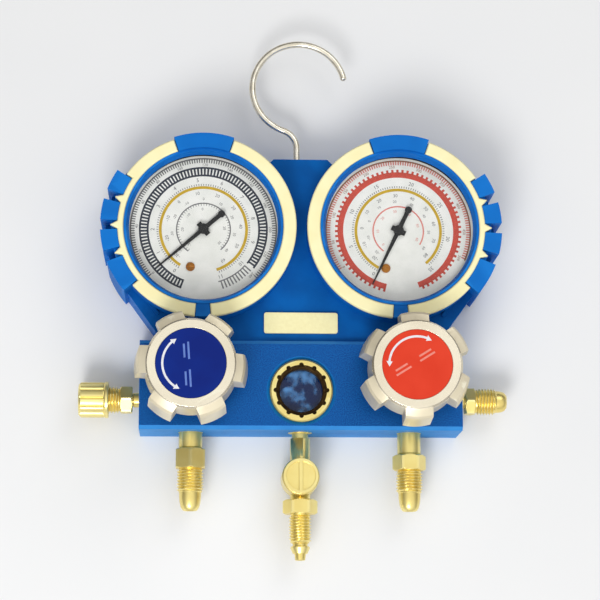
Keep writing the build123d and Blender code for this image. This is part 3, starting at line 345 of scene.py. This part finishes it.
# The web's low front faces take a rougher, coarser finish whose darker blue is painted shade
# between the gauge collars.
textured_blue_painted_shade = finish(
    "textured_blue_plastic_painted_shade", screen(0, 84, 158), screen(0, 95, 174), 90, rough=(0.55, 0.7),
    grain=3200, bump=0.2, shine=0.1)
web_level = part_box("manifold_block")[1].z
front = eased("front_housing", "front_shell", shell_blue, 0.45)
refaced(front, textured_blue_painted_shade, lambda middle, normal: (
    middle.z < web_level and normal.z > flat_to_front))
eased("rear_housing", "rear_shell", shell_blue, 0.45)

zinc_steel = finish(
    "zinc_plated_steel", screen(150, 150, 148), screen(196, 195, 190), 500, metallic=1.0,
    rough=(0.28, 0.45), grain=2600, bump=0.08)
eased("housing_screws", "shell_screws", zinc_steel, 0.12)


# Ring trims and name plate.
# Two arcs of satin cream rubber lie round the lip of each gauge, and a plain cream plate is glued
# to the web between them. The plate is left bare.

cream_rubber = finish(
    "satin_cream_rubber", screen(250, 240, 184), screen(254, 247, 196), 90, rough=(0.5, 0.66),
    grain=2400, bump=0.08, edge=screen(255, 252, 214), edge_highlight_share=0.4, shine=0.25)
eased("low_ring_trim", "low_cream_ring", cream_rubber, 0.22)
eased("high_ring_trim", "high_cream_ring", cream_rubber, 0.22)
cream_plate = finish(
    "cream_plate", screen(238, 226, 162), screen(246, 236, 176), 700, rough=(0.45, 0.6),
    grain=2400, bump=0.08, edge=screen(255, 250, 204), edge_highlight_share=0.4, shine=0.25)
eased("name_plate", "bare_plate", cream_plate, 0.25)


# Hanging hook.
# Bent plated steel wire with a headed end. It turns in a flanged brass bush that both shells grip
# between them at the top of the web.

plated_wire = finish(
    "plated_wire", screen(222, 214, 194), screen(244, 238, 222), 300, metallic=0.85,
    rough=(0.24, 0.27), grain=1500, bump=0.01)
keep("hook", plated_wire)
keep("hook_bush", turned_brass)


# Sight glass.
# A round window in the middle of the block shows the refrigerant passing. A brass ring with
# spanner notches screws the glass down on its seal; its inner wall and notches are painted dark as
# shade.

sight_ring = eased("sight_ring", "sight_brass_ring", turned_brass, 0.2)
# Painted shade: the ring's inner wall and notches are coloured dark brown.
shaded_brass = finish(
    "shaded_brass", screen(58, 42, 20), screen(84, 62, 30), 300, metallic=0.6, rough=(0.4, 0.5),
    shine=0.2)
ring_low, ring_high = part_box("sight_ring")
ring_middle = (ring_low + ring_high) / 2
wall_reach = 10.6
notch_reach = 11.8
notch_floor = 0.3


def lies_in_shade(middle, normal):
    """Whether a face belongs to the ring's inner wall or to one of its spanner notches."""
    reach = (middle - ring_middle).xy.length
    on_wall = reach < wall_reach * MM and normal.z < 0.9
    return on_wall or (reach < notch_reach * MM and middle.z < ring_high.z - notch_floor * MM)


refaced(sight_ring, shaded_brass, lies_in_shade)
black_rubber = finish(
    "black_rubber", screen(22, 22, 24), screen(34, 34, 36), 400, rough=(0.6, 0.75))
keep("sight_seal", black_rubber)


def glazing(name, tint, clearness, painted_glint=None):
    """Clear pane: mostly see-through, with a polished face and, if given, pale specks in its depth
    as painted glints.
    """
    material = bpy.data.materials.new(name)
    material.use_nodes = True
    nodes = material.node_tree.nodes
    links = material.node_tree.links
    skin = nodes["Principled BSDF"]
    skin.inputs["Alpha"].default_value = 1 - clearness
    skin.inputs["Roughness"].default_value = 0.04
    place = nodes.new("ShaderNodeTexCoord")
    haze = nodes.new("ShaderNodeTexNoise")
    haze.inputs["Scale"].default_value = 120
    links.new(place.outputs["Object"], haze.inputs["Vector"])
    ramp = nodes.new("ShaderNodeValToRGB")
    ramp.color_ramp.elements[0].color = tint
    ramp.color_ramp.elements[1].color = tuple(min(1.0, 1.15 * value) for value in tint)
    # Painted glints: pale specks mixed into the tint stand in for reflections.
    if painted_glint:
        haze.inputs["Scale"].default_value = 210
        haze.inputs["Detail"].default_value = 1
        ramp.color_ramp.elements[0].position = 0.47
        ramp.color_ramp.elements[1].position = 0.68
        ramp.color_ramp.elements[1].color = painted_glint
    links.new(haze.outputs["Fac"], ramp.inputs["Fac"])
    links.new(ramp.outputs["Color"], skin.inputs["Base Color"])
    return material


def ring_of(bm, radius, height, around):
    """Vertices of one circle; the radius may be a function of the angle."""
    loop = []
    for k in range(around):
        angle = 2 * pi * k / around
        reach = radius(angle) if callable(radius) else radius
        loop.append(bm.verts.new((reach * cos(angle) * MM, reach * sin(angle) * MM, height * MM)))
    return loop


def turned(name, rings, around=72):
    """Closed skin through (height, radius) rings in millimetres about the z axis."""
    bm = bmesh.new()
    loops = [ring_of(bm, radius, height, around) for height, radius in rings]
    for lower, upper in zip(loops, loops[1:]):
        for k in range(around):
            following = (k + 1) % around
            bm.faces.new((lower[k], lower[following], upper[following], upper[k]))
    bm.faces.new(list(reversed(loops[0])))
    bm.faces.new(loops[-1])
    return solid_from(bm, name)


# The light-blue specks in the sight pane are painted glints.
sight_pane = glazing("sight_pane", screen(4, 34, 84), 0.35, painted_glint=screen(96, 160, 226))
sight_low, sight_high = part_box("sight_glass")
sight_middle = (sight_low + sight_high) / 2
sight_radius = (sight_high.x - sight_low.x) / 2 / MM
pane_steps = 6
pane_rings = [(sight_low.z / MM, sight_radius)]
for k in range(pane_steps):
    pane_rings.append((sight_high.z / MM, sight_radius * (1 - k / pane_steps)))
pane_rings.append((sight_high.z / MM, sight_radius * 0.02))
pane = turned("sight_window_pane", pane_rings)
pane.location = (sight_middle.x, sight_middle.y, 0)
smooth(pane)
fitted(pane, "manifold", "sight_window", sight_pane)
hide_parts("sight_glass")


# Gauges.
# Each gauge is a black plastic cup with a printed white dial, a black pointer and a clear lens
# under the housing's lip. A slotted calibrating screw comes through the dial.

cup_black = finish(
    "cup_black", screen(16, 18, 24), screen(28, 30, 36), 200, rough=(0.3, 0.42))
dial_white = finish(
    "dial_white", screen(240, 241, 234), screen(250, 250, 244), 150, rough=(0.45, 0.6),
    grain=2000, bump=0.02)
pointer_black = finish(
    "pointer_black", screen(10, 10, 11), screen(24, 24, 25), 700, rough=(0.4, 0.55))
clear_pane = glazing("clear_pane", screen(60, 64, 68), 0.965)
bronze = finish(
    "drawn_bronze", screen(150, 106, 62), screen(182, 134, 84), 300, metallic=1.0,
    rough=(0.28, 0.42))
screw_bronze = finish(
    "screw_bronze", screen(146, 92, 34), screen(178, 118, 50), 300, metallic=0.8,
    rough=(0.3, 0.4))
movement_pieces = ("movement_frame", "pinion", "sector_gear", "link")

for side in ("low", "high"):
    keep(f"{side}_gauge_case", cup_black)
    keep(f"{side}_dial", dial_white)
    keep(f"{side}_lens", clear_pane)
    keep(f"{side}_bourdon_tube", bronze)
    keep(f"{side}_gauge_socket", turned_brass)
    for word in movement_pieces:
        keep(f"{side}_{word}", turned_brass)
    eased(f"{side}_pointer", f"{side}_black_hand", pointer_black, 0.12, shortest=0.3)
    eased(f"{side}_calibration_screw", f"{side}_slotted_screw", screw_bronze, 0.1, shortest=0.2)


# Dial print.
# Scales are screen-printed on the white sheet: a hatched pressure band, thin temperature arcs and
# plain numbers. Ink is a film a few hundredths of a millimetre thick.

ink_height = 0.03
ink_gap = 0.005
stroke_step = 9


def ink(name, tone):
    """Printing ink of one tone, a little darker in places."""
    darker = tuple(0.85 * value for value in tone[:3]) + (1.0,)
    return finish(name, darker, tone, 500, rough=(0.5, 0.62), bump=0.02)


def band(bm, place, inner, outer, first, last, base, step=3.0):
    """Ring sector between two angles, from first to last, as a closed film of ink."""
    count = max(1, ceil(abs(last - first) / step))
    corners = ((inner, 0), (outer, 0), (outer, ink_height), (inner, ink_height))
    loops = []
    for k in range(count + 1):
        angle = radians(first + (last - first) * k / count)
        loops.append([
            bm.verts.new((
                place[0] + radius * cos(angle) * MM,
                place[1] + radius * sin(angle) * MM,
                base + level * MM))
            for radius, level in corners])
    for here, there in zip(loops, loops[1:]):
        for k in range(4):
            following = (k + 1) % 4
            bm.faces.new((here[k], here[following], there[following], there[k]))
    bm.faces.new(loops[0])
    bm.faces.new(list(reversed(loops[-1])))


def hatch(bm, place, inner, outer, first, last, base, pitch, share):
    """Short strokes across a band."""
    count = int(abs(last - first) / pitch)
    for k in range(count):
        start = first + (last - first) * k / count
        end = start + (last - first) / count * share
        band(bm, place, inner, outer, start, end, base, step=stroke_step)


def numeral(bm, text, size, place, base, angle):
    """One number centred on a place and turned by an angle."""
    words = bpy.data.curves.new("numeral", "FONT")
    words.body = text
    words.size = size * MM
    words.align_x = "CENTER"
    words.align_y = "CENTER"
    words.extrude = ink_height * MM / 2
    words.resolution_u = 2
    stamp = bpy.data.objects.new("numeral", words)
    bpy.context.scene.collection.objects.link(stamp)
    bpy.context.view_layer.update()
    drawn = stamp.evaluated_get(bpy.context.evaluated_depsgraph_get())
    shape = bpy.data.meshes.new_from_object(drawn)
    spot = Matrix.Translation((place[0], place[1], base + ink_height * MM / 2))
    shape.transform(spot @ Matrix.Rotation(radians(angle), 4, "Z"))
    bm.from_mesh(shape)
    bpy.data.meshes.remove(shape)
    bpy.data.objects.remove(stamp)
    bpy.data.curves.remove(words)


def scale_numbers(bm, place, radius, size, first, last, values, base):
    """Numbers spread evenly along an arc, upright to a reader at the rim."""
    for k, value in enumerate(values):
        angle = first + (last - first) * k / (len(values) - 1)
        spot = (
            place[0] + radius * cos(radians(angle)) * MM,
            place[1] + radius * sin(radians(angle)) * MM)
        numeral(bm, str(value), size, spot, base, angle - 90)


inks = {
    "black": ink("black_ink", screen(50, 56, 68)),
    "grey": ink("grey_ink", screen(118, 118, 120)),
    "mustard": ink("mustard_ink", screen(212, 174, 36)),
    "red": ink("red_ink", screen(216, 82, 64)),
    "pink": ink("pink_ink", screen(232, 140, 130)),
    "brown": ink("brown_ink", screen(160, 108, 82)),
}

# A band has an inner and an outer radius and its two end angles. A hatch has its pitch and the
# share of it that is inked besides, and numbers have a radius, a size, end angles and values.
dial_prints = {
    "low": {
        "black": [
            ("band", 26.4, 27.2, 250, -38), ("band", 23.1, 23.9, 250, -38),
            ("hatch", 23.9, 26.4, 250, -38, 3.2, 0.58)],
        "grey": [
            ("band", 11.1, 11.6, 236, -50), ("band", 30.5, 31.1, 222, -44),
            ("band", 23.1, 23.6, -41, -74), ("hatch", 23.6, 26.8, -41, -74, 3.2, 0.4),
            ("hatch", 29.0, 30.5, 222, -44, 2.0, 0.45), ("hatch", 19.0, 19.8, 238, -72, 3.0, 0.3),
            ("hatch", 10.3, 11.1, 236, -50, 6.0, 0.2),
            ("numbers", 21.4, 2.3, 236, -70, range(0, 12)),
            ("numbers", 15.7, 2.0, 226, -58, range(-30, 61, 10)),
            ("numbers", 13.2, 1.6, 222, -42, range(-40, 41, 10)),
            ("numbers", 8.8, 1.6, 226, -40, range(-30, 31, 10)),
            ("numbers", 28.1, 1.7, 222, -44, range(0, 241, 20))],
        "mustard": [("band", 17.6, 18.8, 238, -72)],
    },
    "high": {
        "red": [
            ("band", 23.4, 25.8, 257.5, -70.3), ("hatch", 25.7, 26.9, 257.5, -70.3, 4.7, 0.45)],
        "pink": [
            ("band", 10.4, 11.0, 234, -32.5), ("hatch", 28.9, 30.4, 214, -24, 2.0, 0.55),
            ("numbers", 8.6, 1.6, 222, -24, range(0, 61, 10))],
        "brown": [
            ("band", 30.4, 31.0, 214, -24), ("numbers", 28.0, 1.7, 214, -24, range(0, 501, 50))],
        "grey": [
            ("hatch", 18.9, 19.7, 242, -50, 3.0, 0.3),
            ("numbers", 21.2, 2.3, 240, -50, range(0, 36, 5)),
            ("numbers", 15.4, 2.0, 230, -42, range(-20, 81, 10)),
            ("numbers", 12.9, 1.6, 226, -34, range(-20, 61, 10))],
        "mustard": [("band", 17.4, 18.6, 242, -50)],
    },
}
for side, prints in dial_prints.items():
    dial_low, dial_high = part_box(f"{side}_dial")
    middle = (dial_low + dial_high) / 2
    film = dial_high.z + ink_gap * MM
    for tone, marks in prints.items():
        bm = bmesh.new()
        for kind, *values in marks:
            if kind == "band":
                band(bm, middle, *values, film)
            elif kind == "hatch":
                inner, outer, first, last, pitch, share = values
                hatch(bm, middle, inner, outer, first, last, film, pitch, share)
            else:
                scale_numbers(bm, middle, *values, film)
        fitted(solid_from(bm, f"{side}_{tone}_print"), "manifold", "dial_white", inks[tone])


# Valves.
# A brass bonnet screws into the block over each piston. The threaded stem comes up through it and
# carries the knob on a square, held by a screw that the round label hides.

def hexagon(flats, limit, turn):
    """Radius of a hexagonal bar at an angle, held to a limit where its corners are turned away."""
    return lambda angle: min(flats / 2 / cos((angle - turn) % (pi / 3) - pi / 6), limit)


def hex_rings(base, top, flats, cut=0.55, turn=0.0):
    """Rings of a nut whose corners are turned down at both faces."""
    corner = flats / 2 / cos(pi / 6)
    start = flats / 2 * 0.995
    shares = [k / 4 for k in range(5)]
    rings = [
        (base + cut * share, hexagon(flats, start + (corner - start) * share, turn))
        for share in shares]
    return rings + [
        (top - cut * share, hexagon(flats, start + (corner - start) * share, turn))
        for share in reversed(shares)]


bonnet_flats = 20.0
bonnet_hex_height = 6.0
bonnet_corner_cut = 0.8
bonnet_neck = 7.0
bonnet_thread_radius = 9.4
bonnet_edge = 0.5
bonnet_mouth = 0.8
stem_gap = 0.06
label_gap = 0.004
arc_inner, arc_outer = 11.1, 12.0
arc_ends = (38, 142)
arrow_inner, arrow_middle, arrow_outer = 10.3, 11.5, 12.8
arrow_angle = 11
bar_middles = (-6.2, 5.2)
bar_rows = (0.6, 2.4)
bar_half_width = 0.4
lobe_reach = 18.6
flank_slope = 0.6

knob_champagne = finish(
    "champagne_knob", screen(238, 227, 202), screen(250, 240, 216), 60, metallic=0.88,
    rough=(0.22, 0.26), grain=1200, bump=0.01, edge=screen(255, 250, 228), edge_highlight_share=0.7,
    coat=0.15, coat_roughness=0.1)
knob_flank = finish(
    "champagne_flank", screen(212, 201, 174), screen(230, 219, 191), 60, metallic=0.4,
    rough=(0.34, 0.38), grain=1200, bump=0.01, edge=screen(255, 250, 228), edge_highlight_share=0.6,
    shine=0.5)
label_navy = finish(
    "label_navy", screen(0, 30, 118), screen(0, 38, 130), 60, rough=(0.35, 0.45), bump=0.02,
    shine=0.15)
label_red = finish(
    "label_red", screen(218, 58, 32), screen(226, 66, 40), 60, rough=(0.35, 0.45), bump=0.02,
    shine=0.15)
label_ink = ink("label_ink", screen(236, 236, 240))
label_pale_ink = {
    "low": ink("pale_blue_ink", screen(96, 128, 206)),
    "high": ink("pale_red_ink", screen(240, 140, 124))}
white_nylon = finish(
    "white_nylon", screen(222, 220, 212), screen(236, 234, 226), 200, rough=(0.4, 0.5))


def patch(bm, place, corners, turn, base):
    """Printed patch with corners given from the label's centre, turned with the label."""
    levels = []
    for level in (0, ink_height):
        levels.append([
            bm.verts.new((
                place[0] + (x * cos(turn) - y * sin(turn)) * MM,
                place[1] + (x * sin(turn) + y * cos(turn)) * MM,
                base + level * MM))
            for x, y in corners])
    lower, upper = levels
    bm.faces.new(list(reversed(lower)))
    bm.faces.new(upper)
    for k in range(len(corners)):
        following = (k + 1) % len(corners)
        bm.faces.new((lower[k], lower[following], upper[following], upper[k]))


for side, label, tilt in (("low", label_navy, 94), ("high", label_red, 32)):
    low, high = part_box(f"{side}_bonnet")
    base, top = low.z / MM, high.z / MM
    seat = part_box("manifold_block")[1].z / MM
    stem_low, stem_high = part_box(f"{side}_stem")
    bonnet_bore = (stem_high.x - stem_low.x) / 2 / MM + stem_gap
    nut = turned(f"{side}_bonnet_nut", [
        (base, bonnet_bore), (base, bonnet_thread_radius), (seat, bonnet_thread_radius),
        *hex_rings(seat, seat + bonnet_hex_height, bonnet_flats, cut=bonnet_corner_cut),
        (seat + bonnet_hex_height, bonnet_neck), (top - bonnet_edge, bonnet_neck),
        (top, bonnet_neck - bonnet_edge), (top, bonnet_bore), (top - bonnet_mouth, bonnet_bore),
    ], around=96)
    nut.location = ((low.x + high.x) / 2, (low.y + high.y) / 2, 0)
    fitted(smooth(nut), "manifold", "brass", turned_brass)
    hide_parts(f"{side}_bonnet")
    keep(f"{side}_stem", turned_brass)
    keep(f"{side}_piston", white_nylon)
    keep(f"{side}_piston_seal", black_rubber)

    grip = eased(
        f"{side}_knob", f"{side}_lobed_knob", knob_champagne, 0.55, steps=3, shortest=0.7)
    grip_low, grip_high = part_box(f"{side}_knob")
    grip_axis = ((grip_low + grip_high) / 2).xy
    refaced(grip, knob_flank, lambda middle, normal: (
        abs(normal.z) < flank_slope or (middle.xy - grip_axis).length > lobe_reach * MM))
    keep(f"{side}_knob_screw", zinc_steel)

    eased(f"{side}_knob_label", f"{side}_round_label", label, 0.15)
    low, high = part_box(f"{side}_knob_label")
    middle = (low + high) / 2
    film = high.z + label_gap * MM
    carrier = body_of[f"{side}_knob"]
    label_slot = slot_of[f"{side}_knob_label"]
    turn = radians(tilt)
    bm = bmesh.new()
    band(bm, middle, arc_inner, arc_outer, tilt + arc_ends[0], tilt + arc_ends[1], film)
    for end, way in ((arc_ends[0], -1), (arc_ends[1], 1)):
        root = radians(end)
        tip = radians(end + way * arrow_angle)
        patch(bm, middle, [
            (arrow_inner * cos(root), arrow_inner * sin(root)),
            (arrow_outer * cos(root), arrow_outer * sin(root)),
            (arrow_middle * cos(tip), arrow_middle * sin(tip))], turn, film)
    fitted(solid_from(bm, f"{side}_label_arrow"), carrier, label_slot, label_ink)
    bm = bmesh.new()
    for x in bar_middles:
        for y in bar_rows:
            half = 3.8 - 0.4 * y
            patch(bm, middle, [
                (x - half, y - bar_half_width), (x + half, y - bar_half_width),
                (x + half, y + bar_half_width), (x - half, y + bar_half_width)], turn, film)
    fitted(solid_from(bm, f"{side}_label_bars"), carrier, label_slot, label_pale_ink[side])


# Hose ports and side fittings.
# Turned brass flare fittings with hexagons for a spanner. The two outer ports and both ends of the
# block have them; a flanged, fluted cap closes the low end and a spring core sits in the high.

def faced(piece, node, direction):
    """Lays a piece drawn up the z axis along a direction, with its seat on the block's face."""
    low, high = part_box(node)
    block_low, block_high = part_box("manifold_block")
    middle = (low + high) / 2
    seat, spin = {
        "down": ((middle.x, block_low.y, middle.z), Matrix.Rotation(pi / 2, 4, "X")),
        "left": ((block_low.x, middle.y, middle.z), Matrix.Rotation(-pi / 2, 4, "Y")),
        "right": ((block_high.x, middle.y, middle.z), Matrix.Rotation(pi / 2, 4, "Y")),
    }[direction]
    piece.data.transform(Matrix.Translation(seat) @ spin)
    return piece


def thread_rings(base, top, crest, root, pitch):
    """Rings of a screw thread that runs out at both ends, seven to a turn."""
    count = ceil((top - base) / pitch * 7)
    rings = []
    for k in range(count + 1):
        height = base + (top - base) * k / count
        fade = min(1.0, (height - base) / (0.7 * pitch), (top - height) / (0.7 * pitch))

        def flank(angle, height=height, fade=fade):
            phase = (height / pitch - angle / (2 * pi)) % 1
            wave = min(1.0, max(0.0, 1.5 * (1 - abs(2 * phase - 1)) - 0.25))
            return root + (crest - root) * fade * wave
        rings.append((height, flank))
    return rings


thread_pitch = 1.27
flare_crest, flare_root, flare_neck = 5.55, 4.75, 4.6
flare_bore = 2.4
flare_bore_floor = -6.0
pipe_thread_radius = 5.1
pipe_thread_end = -7.5
seat_gap = 0.05
edge_cut = 0.3
nose_edge = 0.2
nose_tip_radius = 3.1
nose_bulge = 1.5


def flare_rings(collar, flats, stations, turn):
    """Rings of a flare fitting: pipe thread, collar, hexagon, flare thread and rounded nose."""
    hex_start, hex_end, nose_start, tip = stations
    nose = []
    for k in range(8):
        share = k / 7
        nose.append((
            nose_start + share * (tip - nose_start - nose_edge),
            nose_tip_radius + nose_bulge * (1 - share ** 2) ** 0.6))
    return [
        (pipe_thread_end, flare_bore), (pipe_thread_end, pipe_thread_radius),
        (-seat_gap, pipe_thread_radius), (-seat_gap, collar), (hex_start - 0.7, collar),
        (hex_start - 0.4, collar - edge_cut), (hex_start, collar - edge_cut),
        *hex_rings(hex_start, hex_end, flats, turn=turn),
        (hex_end, flare_neck),
        *thread_rings(hex_end + 0.3, nose_start - 0.6, flare_crest, flare_root, thread_pitch),
        (nose_start - 0.4, flare_neck), *nose, (tip, nose_tip_radius - nose_edge),
        (tip, flare_bore + edge_cut), (tip - edge_cut, flare_bore),
        (flare_bore_floor, flare_bore),
    ]


# Direction, collar's radius, width over the flats, where hexagon, nose and tip lie from the
# block's face, and how far the hexagon is turned.
flare_fittings = {
    "low_hose_port": ("down", 4.9, 12.2, (6.9, 15.1, 25.7, 32.7), pi / 6),
    "high_hose_port": ("down", 4.9, 12.2, (9.2, 15.6, 25.7, 32.7), 0.0),
    "low_side_fitting": ("left", 3.1, 10.6, (3.0, 8.1, 18.5, 22.5), 0.0),
    "high_side_fitting": ("right", 3.1, 10.6, (2.4, 6.6, 16.0, 20.0), 0.0),
}
for node, (direction, collar, flats, stations, hex_turn) in flare_fittings.items():
    fitting = turned(f"{node}_brass", flare_rings(collar, flats, stations, hex_turn))
    faced(fitting, node, direction)
    fitted(smooth(fitting), body_of[node], slot_of[node], turned_brass)
    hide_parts(node)

low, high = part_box("low_side_cap")
cap_open = 13.0
cap_closed = cap_open + (high.x - low.x) / MM
cap_radius = (high.y - low.y) / 2 / MM
cap_bore = 5.6
cap_end_wall = 1.5
cap_flute_depth = 0.7
cap_flutes = 12


def fluted(angle):
    """Radius of the cap's grip, whose rim has rounded finger flutes."""
    return cap_radius - 0.2 - cap_flute_depth * max(0.0, cos(cap_flutes * angle)) ** 3


cap = turned("low_fluted_cap", [
    (cap_closed - cap_end_wall, cap_bore), (cap_open + 0.5, cap_bore),
    (cap_open, cap_bore + 0.4), (cap_open, cap_radius - 0.3), (cap_open + 0.3, cap_radius),
    (cap_open + 1.3, cap_radius), (cap_open + 1.8, cap_radius - 0.35),
    (cap_open + 2.2, fluted), (cap_closed - 1.0, fluted),
    (cap_closed - 0.5, cap_radius - 0.6), (cap_closed, cap_radius - 1.1), (cap_closed, 3.0),
    (cap_closed - 0.25, 2.6),
], around=144)
faced(cap, "low_side_cap", "left")
fitted(smooth(cap), "low_side_cap", "brass", turned_brass)
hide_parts("low_side_cap")
keep("low_cap_gasket", black_rubber)
keep("high_core_body", turned_brass)
keep("high_core_pin", turned_brass)


# Centre tee.
# A forged tee under the sight glass. Its front branch is closed by a round cap with a finger rib,
# and a narrower flare adaptor for the service hose screws into its outlet.

eased("centre_tee", "forged_tee", turned_brass, 0.3)
eased("centre_tee_cap", "tee_finger_cap", turned_brass, 0.25)
adaptor_flats = 12.6
adaptor_hex_height = 6.0
adaptor_neck = 3.9
adaptor_crest, adaptor_root = 4.6, 3.85
adaptor_thread_start, adaptor_thread_end = 6.3, 18.0
adaptor_bore = 1.4
groove_and_cone = [(18.4, 3.1), (19.2, 3.1), (19.6, 4.0), (20.2, 4.05), (22.4, 3.1)]
spigot = [(22.4, 2.4), (25.0, 2.1), (25.2, 1.9), (25.2, 1.6)]
bore_wall = [(25.0, adaptor_bore), (8.0, adaptor_bore)]
outlet = (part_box("manifold_block")[0].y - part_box("centre_flare_fitting")[1].y) / MM
adaptor = turned("centre_flare_adaptor", [
    (outlet, adaptor_bore),
    *hex_rings(outlet, outlet + adaptor_hex_height, adaptor_flats),
    (outlet + adaptor_hex_height, adaptor_neck),
    *thread_rings(
        outlet + adaptor_thread_start, outlet + adaptor_thread_end, adaptor_crest, adaptor_root,
        thread_pitch),
    *[(outlet + rise, radius) for rise, radius in groove_and_cone + spigot + bore_wall],
])
faced(adaptor, "centre_flare_fitting", "down")
fitted(smooth(adaptor), "manifold", "brass", turned_brass)
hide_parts("centre_flare_fitting")
